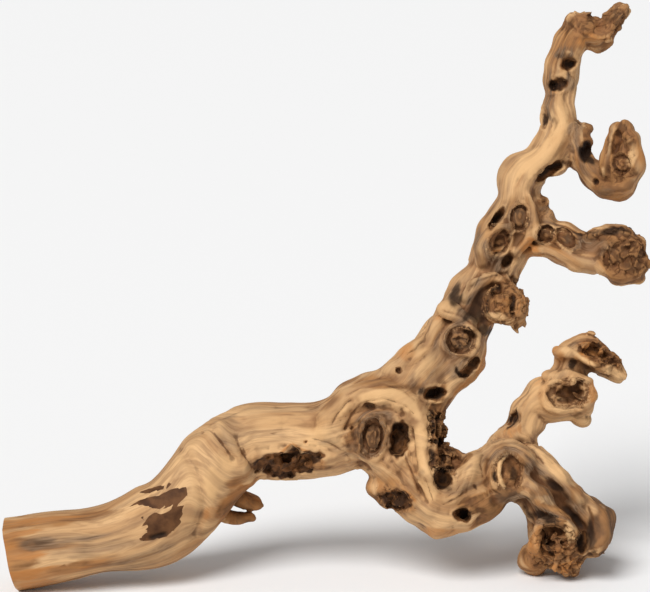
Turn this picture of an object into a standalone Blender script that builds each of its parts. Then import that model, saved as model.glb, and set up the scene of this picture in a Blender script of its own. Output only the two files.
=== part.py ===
"""A piece of driftwood: one gnarled, sandblasted vine limb that stands on its own low points.

The wood is drawn as it is seen from the front. Its limbs are swept along hand-set stations, with thin strands
and burls set on them, and all of it is fused into one skin. Flutes, cords, knots and hollows are then worked
into that skin, the butt is sawn flat, and the piece leans back until it stands.
"""

import math

import bmesh
import bpy
import numpy as np
from mathutils import Euler, Matrix, Vector, kdtree, noise

# Driving dimensions, in metres
BUTT_DIAMETER = 0.056
VIEW_DISTANCE = 1.83
SKIN_CELL = 0.0018
FLUTE_WIDTH = 0.014
FLUTE_HEIGHT = 0.0022
GNARL_WIDTH = 0.017
GNARL_HEIGHT = 0.0022
JOINT_SOFTNESS = 6
FINAL_SOFTNESS = 2
HOLLOW_RIM_HEIGHT = 0.0016
FEET_CUT = 0.0014
LEAN_BACK = math.radians(12)
TRIANGLES = 11200

# The flutes are long for their width, and sharpest where one limb is clearly the nearest. The limb is smooth at
# its butt, and gnarled from one place across the view to another.
ALONG_GRAIN = 0.12
LIMB_BLEND = 8
GNARLED_FROM = 250
GNARLED_BY = 480

# A knot has a collar and a groove, and a hollow has a rim and a floor: each place is in the knot's or hollow's
# own radii, and the knot's dome and groove are in heights of its collar.
KNOT_COLLAR = 1.1
KNOT_COLLAR_BREADTH = 0.2
KNOT_GROOVE = 0.82
KNOT_GROOVE_BREADTH = 0.12
KNOT_GROOVE_DEPTH = 0.8
KNOT_DOME_HEIGHT = 0.6
HOLLOW_RIM = 1.15
HOLLOW_RIM_BREADTH = 0.18
HOLLOW_FLOOR = 0.4
HOLLOW_EDGE = 1.05

# The front view is measured in units of which the butt is 75 wide. In every table below, places are units
# across from the view's left edge, down from its top edge, and away from the viewer.
UNIT = BUTT_DIAMETER / 75
VIEW_MIDDLE = (325, 296)
GROUND_ROW = 590
BUTT_CUT = (10, 553, -29)
BUTT_FACING = (-0.98, 0, -0.19)

# Each limb is a row of stations: across, down, half width, away, half depth.
TRUNK = [
    (-14, 555, 37, -22, 37),
    (20, 551, 37, -21, 37),
    (50, 546, 36, -19, 36),
    (90, 541, 34, -16, 35),
    (125, 535, 38, -12, 36),
    (158, 522, 43, -7, 38),
    (187, 500, 41, -1, 38),
    (215, 467, 40, 4, 37),
    (248, 443, 38, 7, 36),
    (288, 441, 37, 8, 36),
    (325, 438, 36, 6, 37),
    (361, 424, 43, 2, 40),
    (397, 407, 45, 0, 40),
    (428, 375, 37, 5, 34),
    (452, 346, 36, 11, 33),
    (473, 309, 30, 15, 30),
    (493, 272, 26, 20, 27),
    (506, 240, 30, 20, 28),
    (519, 207, 26, 14, 26),
    (524, 183, 25, 12, 28),
    (547, 159, 22, 18, 26),
    (562, 130, 19, 25, 21),
    (558, 105, 17, 29, 17),
    (561, 80, 18, 32, 17),
    (566, 55, 17, 33, 17),
    (580, 31, 22, 30, 18),
    (601, 33, 15, 26, 14),
    (613, 19, 12, 20, 10),
    (622, 9, 9, 16, 8),
]
LOWER_LIMB = [
    (376, 430, 38, 0, 38),
    (403, 462, 36, -3, 38),
    (438, 493, 41, -7, 36),
    (478, 487, 36, -4, 34),
    (508, 470, 30, 2, 32),
    (535, 478, 29, 6, 31),
    (555, 505, 33, 13, 32),
    (568, 528, 42, 18, 36),
    (563, 540, 34, 16, 34),
]
HUB_BRANCH = [
    (507, 468, 27, 10, 26),
    (514, 443, 22, 16, 22),
    (532, 405, 22, 20, 20),
    (565, 395, 28, 12, 25),
    (569, 367, 20, 14, 17),
    (584, 353, 20, 12, 17),
    (604, 363, 15, 8, 14),
    (615, 372, 12, 6, 10),
]
RIGHT_BRANCH = [
    (518, 234, 27, 18, 22),
    (549, 234, 23, 14, 20),
    (568, 244, 21, 8, 20),
    (588, 252, 21, 0, 19),
    (608, 251, 29, -10, 24),
    (624, 256, 31, -22, 24),
    (636, 257, 19, -29, 17),
]
HOOK = [
    (565, 136, 20, 24, 20),
    (580, 152, 17, 18, 17),
    (590, 171, 13, 8, 14),
    (606, 184, 15, -4, 14),
    (621, 179, 20, -16, 14),
    (622, 159, 21, -22, 13),
    (622, 142, 19, -24, 11),
    (622, 133, 12, -24, 8),
]
UPPER_PRONG = [
    (212, 486, 10, 24, 10),
    (238, 497, 10, 32, 9),
    (255, 502, 8, 38, 8),
]
LOWER_PRONG = [
    (208, 510, 8, 24, 9),
    (234, 517, 7, 30, 8),
    (251, 518, 6, 34, 6),
]
REAR_FOOT = [
    (560, 517, 30, 36, 28),
    (566, 528, 25, 78, 24),
    (566, 534, 17, 114, 17),
]
LIMBS = [TRUNK, LOWER_LIMB, HUB_BRANCH, RIGHT_BRANCH, HOOK, UPPER_PRONG, LOWER_PRONG, REAR_FOOT]
# Each strand is a thin limb that lies on another and is fused into it, with creases along its sides.
STRANDS = [
    [
        (318, 446, 7, -21, 8),
        (330, 424, 11, -22, 12),
        (343, 406, 12, -24, 13),
        (362, 396, 12, -26, 14),
        (384, 394, 12, -28, 14),
        (404, 402, 12, -28, 14),
        (419, 417, 11, -28, 14),
        (427, 440, 11, -29, 14),
        (427, 466, 11, -32, 13),
        (434, 494, 10, -34, 11),
        (442, 510, 7, -28, 8),
    ],
    [
        (436, 504, 8, -31, 9),
        (454, 494, 9, -33, 9),
        (467, 479, 9, -31, 9),
        (473, 463, 8, -27, 8),
        (486, 451, 7, -25, 8),
    ],
    [
        (490, 490, 5, -20, 7),
        (484, 470, 7, -23, 9),
        (491, 453, 7, -24, 9),
        (508, 445, 7, -22, 9),
        (524, 452, 7, -22, 9),
        (531, 469, 7, -22, 9),
        (526, 487, 7, -20, 9),
        (512, 497, 5, -18, 7),
    ],
    [(530, 452, 8, -12, 9), (546, 464, 9, -12, 10), (562, 480, 9, -12, 10), (576, 496, 8, -8, 10)],
    [(532, 484, 7, -24, 8), (546, 498, 8, -23, 9), (560, 513, 7, -21, 9), (574, 532, 6, -18, 9)],
    [(584, 500, 7, -2, 9), (598, 518, 8, -5, 9), (601, 538, 7, -5, 9), (592, 554, 6, -2, 8)],
    [(392, 371, 8, -21, 9), (411, 357, 9, -20, 10), (424, 341, 8, -17, 9), (436, 323, 7, -12, 8)],
    [(444, 307, 6, -16, 8), (458, 313, 7, -20, 8), (474, 325, 6, -20, 8)],
    [(468, 298, 6, -12, 7), (479, 284, 7, -14, 8), (495, 277, 7, -14, 8), (508, 283, 6, -12, 8)],
    [(482, 262, 6, -6, 7), (486, 244, 6, -10, 7), (496, 230, 6, -12, 7), (510, 226, 5, -12, 7)],
    [(516, 252, 6, -8, 8), (530, 236, 7, -12, 8), (534, 214, 7, -12, 8), (530, 196, 6, -12, 8)],
    [(536, 249, 6, -2, 8), (556, 252, 7, -8, 8), (580, 260, 7, -14, 8), (602, 267, 6, -20, 8)],
    [(584, 238, 4, -9, 9), (600, 235, 6, -18, 10), (619, 236, 6, -26, 11), (634, 241, 5, -32, 9)],
    [
        (548, 374, 6, 0, 7),
        (564, 373, 7, -6, 7),
        (580, 378, 6, -9, 7),
        (586, 391, 6, -9, 8),
        (582, 405, 6, -9, 8),
    ],
    [(556, 352, 6, 0, 7), (572, 354, 7, -6, 7), (590, 362, 7, -8, 7), (608, 372, 6, -8, 7)],
    [(604, 188, 6, -12, 7), (626, 186, 7, -26, 8), (638, 166, 6, -30, 8), (633, 140, 5, -30, 7)],
    [(534, 546, 6, -12, 7), (536, 528, 7, -16, 8), (552, 520, 7, -18, 8), (570, 526, 6, -18, 8)],
]
ROUND_END = [math.radians(angle) for angle in (15, 35, 55, 75)]

# Each burl is an egg fused into the limb: across, down, away, then its half width, height and depth.
BURLS = [
    (506, 307, -6, 26, 24, 22),
    (387, 489, -8, 20, 20, 22),
    (593, 525, 24, 24, 32, 30),
    (534, 558, 28, 15, 15, 16),
    (573, 566, 22, 11, 12, 12),
    (430, 404, -2, 13, 12, 12),
    (434, 430, -6, 12, 13, 14),
    (446, 457, -8, 16, 15, 20),
    (373, 437, -26, 15, 22, 14),
    (461, 340, -14, 17, 17, 12),
    (585, 128, 22, 7, 7, 8),
    (581, 421, 12, 10, 8, 14),
    (473, 366, 4, 15, 15, 22),
    (548, 528, 62, 20, 20, 22),
    (574, 541, 92, 13, 12, 14),
    (560, 534, 118, 15, 12, 13),
    (430, 470, 22, 22, 20, 20),
    (300, 425, 32, 24, 18, 14),
    (196, 490, 28, 24, 18, 12),
    (498, 262, 38, 20, 18, 14),
    (452, 344, 34, 18, 18, 14),
    (634, 243, -24, 12, 12, 12),
    (632, 270, -24, 12, 12, 12),
    (519, 325, -4, 6, 7, 7),
]

# Each cord is a strand that stands out of the skin, or where its rise is below nothing a crease that sinks
# into it: its half breadth, its rise, its side, and the places that it runs through, across and down.
CORDS = [
    (10, 5, -1, [(327, 432), (334, 414), (349, 402), (369, 394), (391, 394), (408, 402), (421, 419), (427, 470)]),
    (4, -4, -1, [(344, 430), (353, 414), (367, 408), (386, 408), (401, 414), (410, 430), (412, 455), (421, 494)]),
    (7, 4, -1, [(427, 474), (437, 497), (452, 499), (466, 482), (474, 458)]),
    (4, -3, -1, [(392, 462), (404, 484), (424, 502)]),
    (7, 3, -1, [(380, 458), (390, 474), (412, 492), (428, 512)]),
    (4, -3, -1, [(213, 428), (232, 458)]),
    (4, -3, -1, [(236, 438), (253, 470)]),
    (6, 3, -1, [(220, 425), (243, 462), (250, 482)]),
    (5, -3, -1, [(172, 440), (196, 468), (206, 505), (196, 535)]),
    (8, 3, -1, [(232, 410), (275, 415), (322, 412), (345, 392), (392, 366)]),
    (8, 3, -1, [(402, 352), (424, 346), (436, 330), (444, 306), (464, 284), (486, 276)]),
    (4, -4, -1, [(426, 322), (425, 345), (410, 358)]),
    (5, -4, -1, [(468, 290), (484, 283), (500, 276)]),
    (7, 4, -1, [(441, 308), (462, 318), (482, 330)]),
    (4, -4, -1, [(484, 322), (473, 332), (476, 350)]),
    (6, 3, -1, [(478, 250), (490, 226), (508, 204), (530, 172), (562, 140)]),
    (4, -3, -1, [(512, 264), (530, 244), (531, 222)]),
    (5, 3, -1, [(536, 252), (556, 254), (590, 262), (612, 276)]),
    (5, 4, -1, [(578, 238), (590, 234), (606, 230), (630, 234)]),
    (5, 4, -1, [(502, 452), (497, 472), (503, 492)]),
    (4, -4, -1, [(489, 462), (488, 484), (496, 500)]),
    (6, 4, -1, [(524, 456), (544, 470), (560, 486), (578, 492)]),
    (4, -4, -1, [(534, 474), (548, 484), (562, 506), (584, 532)]),
    (6, 4, -1, [(530, 494), (548, 508), (566, 520), (580, 540)]),
    (5, -4, -1, [(522, 502), (532, 516), (530, 536)]),
    (5, 4, -1, [(586, 500), (602, 512), (606, 534), (596, 552)]),
    (6, 4, -1, [(604, 188), (628, 186), (637, 166), (630, 140)]),
    (4, -4, -1, [(609, 172), (617, 152), (619, 134)]),
    (5, 3, -1, [(560, 352), (580, 346), (604, 366)]),
    (9, 4, 1, [(60, 545), (130, 528), (190, 490), (225, 440), (300, 418), (380, 396), (440, 350)]),
    (5, -4, 1, [(110, 556), (170, 530), (212, 488), (250, 450), (330, 446)]),
    (8, 4, 1, [(400, 420), (430, 450), (470, 470), (520, 458), (560, 480)]),
    (5, -4, 1, [(370, 440), (410, 470), (450, 500), (490, 496)]),
    (7, 4, 1, [(450, 330), (480, 290), (500, 250), (520, 190), (556, 140), (562, 70)]),
    (4, -4, 1, [(440, 372), (468, 322), (490, 288)]),
]

# Each knot is a low ringed disc on the skin: across, down, half length, half breadth, its turn in the view
# in degrees, and how far it rises. The side is -1 on the front and 1 on the back.
KNOTS = [
    (373, 437, 20, 13, 85, 5, -1),
    (461, 340, 15, 14, 0, 4, -1),
    (504, 305, 21, 18, 20, 3, -1),
    (499, 242, 14, 10, 50, 4, -1),
    (520, 217, 13, 9, 80, 4, -1),
    (546, 235, 10, 9, 0, 4, -1),
    (566, 240, 14, 8, -35, 4, -1),
    (508, 472, 19, 15, 90, 2, -1),
    (555, 541, 20, 16, 0, 2, -1),
    (569, 394, 23, 15, 10, 4, -1),
    (626, 258, 20, 17, 0, 2, -1),
    (623, 165, 12, 9, 90, 3, -1),
    (300, 430, 22, 16, 15, 3, 1),
    (420, 480, 24, 19, 40, 4, 1),
    (500, 262, 18, 14, 60, 3, 1),
    (205, 478, 20, 15, 40, 3, 1),
]

# Each hollow is eaten into the wood: across, down, half length, half breadth, its turn in the view in
# degrees, its depth, and the side it is on.
HOLLOWS = [
    (288, 464, 33, 12, 4, 12, -1),
    (292, 455, 14, 8, 30, 10, -1),
    (380, 438, 34, 28, 0, 5, -1),
    (399, 440, 19, 10, 82, 17, -1),
    (464, 515, 10, 8, 20, 14, -1),
    (471, 366, 15, 6, 48, 9, -1),
    (497, 220, 14, 4, 55, 8, -1),
    (551, 171, 20, 6, 33, 9, -1),
    (398, 500, 18, 10, -12, 11, -1),
    (435, 393, 13, 7, 10, 14, -1),
    (443, 479, 11, 10, 0, 12, -1),
    (515, 419, 10, 7, 50, 9, -1),
    (569, 394, 20, 12, 10, 7, -1),
    (569, 64, 8, 6, 30, 6, -1),
    (559, 85, 9, 7, 30, 7, -1),
    (545, 118, 11, 5, 85, 6, -1),
    (507, 261, 10, 5, 60, 8, -1),
    (587, 152, 10, 5, 80, 6, -1),
    (583, 543, 10, 5, 80, 9, -1),
    (594, 353, 16, 6, -25, 6, -1),
    (552, 544, 6, 5, 0, 7, -1),
    (566, 543, 5, 5, 0, 7, -1),
    (480, 440, 24, 10, 20, 12, 1),
    (350, 440, 20, 9, 10, 12, 1),
    (445, 352, 18, 8, 50, 10, 1),
    (530, 180, 14, 7, 60, 8, 1),
    (560, 505, 16, 9, 40, 9, 1),
    (130, 530, 22, 7, 15, 7, 1),
]

# Each nudge shifts the wood near a place: across, down, its reach, and how far it moves it across and down.
NUDGES = [
    (115, 577, 30, 0, -4),
    (148, 478, 12, 0, 3),
    (188, 438, 14, -2, -1),
    (228, 407, 12, 1, 2),
    (250, 524, 9, -1, -3),
    (326, 393, 12, 3, 3),
    (362, 473, 12, 2, -3),
    (373, 502, 10, 2, -3),
    (438, 531, 14, 0, 8),
    (437, 301, 11, 3, 3),
    (494, 195, 9, 4, -1),
    (482, 213, 9, 3, 2),
    (476, 237, 8, -2, 0),
    (463, 260, 11, 9, 1),
    (455, 281, 10, -4, -2),
    (499, 331, 12, -2, -8),
    (467, 381, 9, 1, 4),
    (503, 420, 10, 4, 2),
    (455, 442, 9, -1, 5),
    (490, 444, 9, -3, -3),
    (475, 448, 7, 1, 3),
    (508, 504, 9, 0, -5),
    (489, 517, 10, 1, 4),
    (557, 23, 10, 5, 2),
    (556, 46, 12, -4, -1),
    (548, 62, 10, -3, -1),
    (541, 94, 11, 4, 0),
    (544, 121, 9, -4, 0),
    (552, 185, 10, -5, -6),
    (562, 168, 8, 2, 2),
    (545, 204, 8, 4, -3),
    (545, 189, 8, -4, 3),
    (562, 214, 9, -5, 7),
    (562, 260, 12, -1, 3),
    (515, 280, 7, 3, 1),
    (531, 307, 10, -4, -1),
    (549, 362, 12, 8, 3),
    (518, 390, 11, 5, 3),
    (562, 425, 8, 2, -3),
    (543, 426, 7, 3, 1),
    (540, 441, 8, -3, -4),
    (556, 456, 12, -2, 2),
    (526, 530, 10, 3, 1),
    (523, 566, 8, -3, 2),
    (553, 572, 8, 3, -5),
    (617, 5, 7, 0, -4),
    (577, 15, 10, -1, -4),
    (619, 37, 8, -5, -1),
    (599, 48, 6, 0, 4),
    (586, 56, 8, -5, -2),
    (574, 90, 15, 3, 0),
    (619, 117, 10, 0, 5),
    (595, 152, 9, -3, 1),
    (574, 177, 9, 4, -4),
    (593, 196, 8, 2, -3),
    (613, 203, 12, 0, -4),
    (618, 220, 12, -1, 5),
    (582, 227, 12, -1, 6),
    (573, 265, 10, 0, 5),
    (597, 271, 9, 0, 4),
    (605, 279, 6, 0, -4),
    (626, 280, 10, 0, 5),
    (584, 331, 14, 0, 3),
    (626, 367, 7, -5, -2),
    (588, 409, 9, 5, 3),
    (598, 389, 9, -5, 1),
    (576, 431, 11, 0, -5),
    (580, 481, 12, -6, 3),
    (606, 501, 10, -2, 4),
    (584, 488, 7, -3, 2),
    (617, 533, 10, -4, 0),
    (587, 566, 9, -4, -4),
    (571, 575, 9, 0, 2),
    (515, 498, 6, 0, 5),
    (641, 184, 14, -4, -1),
    (633, 223, 9, -4, 5),
    (650, 254, 9, -6, 0),
    (641, 239, 6, 5, 0),
    (637, 277, 8, 3, 3),
]


def place(across, down, away):
    """The point that is seen at this place: what lies farther away stands farther from the middle."""
    spread = 1 + away * UNIT / VIEW_DISTANCE
    middle_across, middle_down = VIEW_MIDDLE
    right = middle_across + (across - middle_across) * spread
    below = middle_down + (down - middle_down) * spread
    return Vector((right * UNIT, away * UNIT, (GROUND_ROW - below) * UNIT))


def smooth_row(stations, per_span=6):
    """The stations with more between them, on a smooth curve through them all."""
    rows = np.array(stations, float)
    rows = np.vstack([2 * rows[0] - rows[1], rows, 2 * rows[-1] - rows[-2]])
    finer = []
    for span in range(1, len(rows) - 2):
        before, start, end, after = rows[span - 1 : span + 3]
        pull = end - before
        bend = 2 * before - 5 * start + 4 * end - after
        twist = 3 * (start - end) + after - before
        shares = np.arange(per_span) / per_span
        finer += [start + (pull * t + bend * t**2 + twist * t**3) / 2 for t in shares]
    return np.array(finer + [rows[-2]])


class Limb:
    """A limb's centre line with, at each point, its direction, the two axes across it and its two radii."""

    def __init__(self, stations):
        rows = smooth_row(stations)
        self.centres = np.array([place(across, down, away) for across, down, _, away, _ in rows])
        self.half_widths = rows[:, 2] * UNIT
        self.half_depths = rows[:, 4] * UNIT
        along = np.gradient(self.centres, axis=0)
        steps = np.linalg.norm(np.diff(self.centres, axis=0), axis=1)
        self.lengths = np.concatenate([[0], np.cumsum(steps)])
        self.along = along / np.linalg.norm(along, axis=1, keepdims=True)
        beside = np.stack([-along[:, 2], np.zeros(len(along)), along[:, 0]], 1)
        self.beside = beside / np.linalg.norm(beside, axis=1, keepdims=True)
        self.behind = np.cross(self.beside, self.along)

    def continue_from(self, trunk):
        """The branch's grain goes on from the trunk's where the branch starts."""
        gaps = np.linalg.norm(trunk.centres - self.centres[0], axis=1)
        self.lengths = self.lengths + trunk.lengths[gaps.argmin()]

    def sweep(self, bm, sides=28):
        """A closed tube with round ends."""
        last = len(self.centres) - 1
        rings = [(0, -math.sin(angle), math.cos(angle)) for angle in reversed(ROUND_END)]
        rings += [(index, 0, 1) for index in range(last + 1)]
        rings += [(last, math.sin(angle), math.cos(angle)) for angle in ROUND_END]
        tube = []
        for index, beyond, share in rings:
            centre = self.centres[index] + self.along[index] * self.half_widths[index] * beyond
            wide = self.beside[index] * self.half_widths[index] * share
            deep = self.behind[index] * self.half_depths[index] * share
            turns = [2 * math.pi * side / sides for side in range(sides)]
            tube.append([bm.verts.new(centre + wide * math.cos(a) + deep * math.sin(a)) for a in turns])
        for one, two in zip(tube, tube[1:]):
            for side in range(sides):
                following = (side + 1) % sides
                bm.faces.new((one[side], one[following], two[following], two[side]))
        bm.faces.new(reversed(tube[0]))
        bm.faces.new(tube[-1])

    def grain(self, points):
        """How far each point is from the centre line in radii, and its place round and along the limb."""
        tree = kdtree.KDTree(len(self.centres))
        for index, centre in enumerate(self.centres):
            tree.insert(centre, index)
        tree.balance()
        nearest = np.array([tree.find(point)[1] for point in points])
        offset = points - self.centres[nearest]
        wide = (offset * self.beside[nearest]).sum(1) / self.half_widths[nearest]
        deep = (offset * self.behind[nearest]).sum(1) / self.half_depths[nearest]
        length = self.lengths[nearest] + (offset * self.along[nearest]).sum(1)
        beyond = np.maximum(np.maximum(self.lengths[0] - length, length - self.lengths[-1]), 0)
        radii = np.hypot(wide, deep)
        round_limb = np.stack([wide, deep], 1) / np.maximum(radii, 0.1)[:, None]
        around = round_limb * self.half_widths.mean()
        return radii + beyond / self.half_widths.mean(), np.column_stack([around, length])


def add_burl(bm, burl):
    across, down, away, half_width, half_height, half_depth = burl
    egg = Matrix.Diagonal((half_width * UNIT, half_depth * UNIT, half_height * UNIT, 1))
    where = Matrix.Translation(place(across, down, away))
    bmesh.ops.create_icosphere(bm, subdivisions=3, radius=1, matrix=where @ egg)


def apply_modifiers(wood):
    """The object keeps the mesh that its modifiers make, and loses the modifiers."""
    graph = bpy.context.evaluated_depsgraph_get()
    wood.data = bpy.data.meshes.new_from_object(wood.evaluated_get(graph))
    wood.modifiers.clear()


def fuse(wood, relax):
    """One even skin round everything in the mesh, with its creases relaxed."""
    remesh = wood.modifiers.new("one skin", "REMESH")
    remesh.mode = "VOXEL"
    remesh.voxel_size = SKIN_CELL
    soften = wood.modifiers.new("soft joints", "SMOOTH")
    soften.factor = 0.5
    soften.iterations = relax
    apply_modifiers(wood)


def smooth_step(low, high, values):
    share = np.clip((values - low) / (high - low), 0, 1)
    return share * share * (3 - 2 * share)


def seen(points):
    """Where each point is seen in the front view, across and down."""
    spread = 1 + points[:, 1] / VIEW_DISTANCE
    flat = np.stack([points[:, 0] / UNIT, GROUND_ROW - points[:, 2] / UNIT], 1)
    return (flat - VIEW_MIDDLE) / spread[:, None] + VIEW_MIDDLE


def facing(normals, side):
    """How squarely the skin faces the viewer or, on the other side, away from the viewer."""
    return smooth_step(0, 0.4, normals[:, 1] * side)


def in_radii(points, disc):
    """Each point's distance from a disc's middle, in the disc's own radii."""
    across, down, half_length, half_breadth, turn = disc[:5]
    right, below = (seen(points) - (across, down)).T
    cosine, sine = math.cos(math.radians(turn)), math.sin(math.radians(turn))
    lengthwise = (right * cosine - below * sine) / half_length
    crosswise = (right * sine + below * cosine) / half_breadth
    return np.hypot(lengthwise, crosswise)


def from_line(points, line):
    """Each point's distance from a line through places in the front view, in its units."""
    nearest = np.full(len(points), np.inf)
    offsets = seen(points)
    for start, end in zip(np.array(line[:-1], float), np.array(line[1:], float)):
        run = end - start
        share = np.clip((offsets - start) @ run / (run @ run), 0, 1)
        nearest = np.minimum(nearest, np.linalg.norm(offsets - start - share[:, None] * run, axis=1))
    return nearest


def nudge(points, normals):
    for across, down, reach, move_across, move_down in NUDGES:
        gaps = np.linalg.norm(seen(points) - (across, down), axis=1)
        share = np.exp(-((gaps / reach) ** 2))
        points = points + share[:, None] * np.array([move_across, 0, -move_down]) * UNIT
    return points


def flute(points, normals, limbs):
    """Long shallow ridges that follow each limb and blend where limbs meet."""
    found = [limb.grain(points) for limb in limbs]
    nearness = np.array([radii for radii, _ in found])
    shares = np.exp(-LIMB_BLEND * (nearness - nearness.min(0)))
    shares /= shares.sum(0)
    grain = sum(share[:, None] * places for share, (_, places) in zip(shares, found))
    grain *= np.array([1, 1, ALONG_GRAIN]) / FLUTE_WIDTH
    height = 2 * FLUTE_HEIGHT * np.array([noise.noise(Vector(where)) for where in grain])
    lumps = np.array([noise.noise(Vector(where)) for where in points / GNARL_WIDTH])
    height += 2 * GNARL_HEIGHT * lumps * smooth_step(GNARLED_FROM, GNARLED_BY, seen(points)[:, 0])
    return points + normals * height[:, None]


def raise_cords(points, normals):
    for half_breadth, rise, side, line in CORDS:
        height = rise * UNIT * np.exp(-((from_line(points, line) / half_breadth) ** 2))
        points = points + normals * (height * facing(normals, side))[:, None]
    return points


def raise_knots(points, normals):
    """A collar stands round each knot, and the knot is a low dome inside a groove."""
    for knot in KNOTS:
        radius = in_radii(points, knot)
        collar = np.exp(-(((radius - KNOT_COLLAR) / KNOT_COLLAR_BREADTH) ** 2))
        groove = np.exp(-(((radius - KNOT_GROOVE) / KNOT_GROOVE_BREADTH) ** 2))
        dome = 1 - smooth_step(0, KNOT_GROOVE, radius)
        rise, side = knot[5:]
        height = rise * UNIT * (collar + KNOT_DOME_HEIGHT * dome - KNOT_GROOVE_DEPTH * groove)
        points = points + normals * (height * facing(normals, side))[:, None]
    return points


def eat_hollows(points, normals):
    for hollow in HOLLOWS:
        radius = in_radii(points, hollow)
        depth, side = hollow[5:]
        share = facing(normals, side)
        fall = 1 - smooth_step(HOLLOW_FLOOR, HOLLOW_EDGE, radius)
        rim = np.exp(-(((radius - HOLLOW_RIM) / HOLLOW_RIM_BREADTH) ** 2))
        points = points + normals * (rim * share * HOLLOW_RIM_HEIGHT)[:, None]
        points[:, 1] -= fall * share * depth * UNIT * side
    return points


def carve(wood, work, *given):
    """Moves the skin's points by one piece of work, which may need to know something more."""
    mesh = wood.data
    points = np.empty(len(mesh.vertices) * 3)
    normals = np.empty(len(mesh.vertices) * 3)
    mesh.vertices.foreach_get("co", points)
    mesh.vertices.foreach_get("normal", normals)
    moved = work(points.reshape(-1, 3), normals.reshape(-1, 3), *given)
    mesh.vertices.foreach_set("co", moved.ravel())
    mesh.update()


def coarsen(wood):
    decimate = wood.modifiers.new("fewer facets", "DECIMATE")
    decimate.ratio = TRIANGLES / (2 * len(wood.data.polygons))
    apply_modifiers(wood)


def saw(bm, point, normal):
    """Cuts away what lies beyond a plane and closes the cut with one flat face."""
    geometry = bm.verts[:] + bm.edges[:] + bm.faces[:]
    bmesh.ops.bisect_plane(bm, geom=geometry, plane_co=point, plane_no=normal, clear_outer=True)
    open_edges = [edge for edge in bm.edges if edge.is_boundary]
    bmesh.ops.holes_fill(bm, edges=open_edges)


def stand_up(wood):
    """Saws the butt, levels the feet, and leans the piece back on them, over the middle of its ground."""
    lean = Euler((-LEAN_BACK, 0, 0)).to_matrix()
    down = lean.transposed() @ Vector((0, 0, -1))
    bm = bmesh.new()
    bm.from_mesh(wood.data)
    saw(bm, place(*BUTT_CUT), Vector(BUTT_FACING))
    lowest = max(vert.co.dot(down) for vert in bm.verts) - FEET_CUT
    saw(bm, down * lowest, down)
    bmesh.ops.triangulate(bm, faces=bm.faces)
    standing = np.array([lean @ vert.co for vert in bm.verts])
    middle = (standing.min(0) + standing.max(0)) / 2
    bm.to_mesh(wood.data)
    bm.free()
    wood.rotation_euler.x = -LEAN_BACK
    wood.location = (-middle[0], -middle[1], lowest)


def wood_material():
    material = bpy.data.materials.new("sandblasted vine wood")
    material.use_nodes = True
    surface = material.node_tree.nodes["Principled BSDF"]
    surface.inputs["Base Color"].default_value = (0.52, 0.31, 0.15, 1)
    surface.inputs["Roughness"].default_value = 0.7
    surface.inputs["Metallic"].default_value = 0
    return material


def main():
    for old in list(bpy.data.objects):
        bpy.data.objects.remove(old)
    limbs = [Limb(stations) for stations in LIMBS]
    for branch in limbs[1:]:
        branch.continue_from(limbs[0])
    bm = bmesh.new()
    for limb in limbs:
        limb.sweep(bm)
    for stations in STRANDS:
        Limb(stations).sweep(bm)
    for burl in BURLS:
        add_burl(bm, burl)
    bmesh.ops.recalc_face_normals(bm, faces=bm.faces)
    mesh = bpy.data.meshes.new("driftwood")
    bm.to_mesh(mesh)
    bm.free()
    wood = bpy.data.objects.new("driftwood", mesh)
    bpy.context.scene.collection.objects.link(wood)
    fuse(wood, JOINT_SOFTNESS)
    carve(wood, nudge)
    carve(wood, flute, limbs)
    carve(wood, raise_cords)
    carve(wood, raise_knots)
    carve(wood, eat_hollows)
    fuse(wood, FINAL_SOFTNESS)
    coarsen(wood)
    stand_up(wood)
    wood.data.materials.append(wood_material())
    wood.data.shade_smooth()


main()
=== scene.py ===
import math

import bmesh
import bpy
import numpy as np
from mathutils import Euler, Matrix, Vector, kdtree, noise
from mathutils.bvhtree import BVHTree


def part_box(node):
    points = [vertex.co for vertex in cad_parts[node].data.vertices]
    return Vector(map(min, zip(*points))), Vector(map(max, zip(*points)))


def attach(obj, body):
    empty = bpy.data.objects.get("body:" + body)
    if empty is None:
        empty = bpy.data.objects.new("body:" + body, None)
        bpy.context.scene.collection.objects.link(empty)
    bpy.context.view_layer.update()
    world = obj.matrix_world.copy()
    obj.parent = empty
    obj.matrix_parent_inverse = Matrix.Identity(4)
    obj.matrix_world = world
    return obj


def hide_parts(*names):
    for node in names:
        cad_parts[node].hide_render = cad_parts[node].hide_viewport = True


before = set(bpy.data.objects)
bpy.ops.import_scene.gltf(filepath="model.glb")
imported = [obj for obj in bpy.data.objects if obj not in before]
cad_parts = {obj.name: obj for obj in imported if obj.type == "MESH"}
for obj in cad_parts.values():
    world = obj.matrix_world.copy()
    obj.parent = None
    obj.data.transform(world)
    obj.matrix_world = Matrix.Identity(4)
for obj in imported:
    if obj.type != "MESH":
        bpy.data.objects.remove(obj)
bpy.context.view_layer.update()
noise.seed_set(5)

# The limb. The whole piece is one old vine trunk, sawn off at its butt, dried and sandblasted until most of
# its bark is gone. It is drawn as the part is, limb by limb in the front view, and fused into one skin, and
# blasted grain, ringed knots, crags of burl and rotted hollows are then worked into the skin.
BUTT_DIAMETER = 0.056
VIEW_DISTANCE = 1.83
LEAN_BACK = math.radians(12)
SKIN_CELL = 0.0010
MOST_TRIANGLES = 196000
JOINTS_RELAXED_OVER = 0.0044
RELIEF_RELAXED_OVER = 0.0009
FLUTE_WIDTH = 0.014
FLUTE_HEIGHT = 0.0020
GNARL_WIDTH = 0.017
GNARL_HEIGHT = 0.0022
HOLLOW_RIM_HEIGHT = 0.0012

# The flutes are long for their width, and sharpest where one limb is clearly the nearest. The limb is smooth
# at its butt, and gnarled from one place across the view to another.
ALONG_GRAIN = 0.12
LIMB_BLEND = 8
GNARLED_FROM = 250
GNARLED_BY = 480

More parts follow.
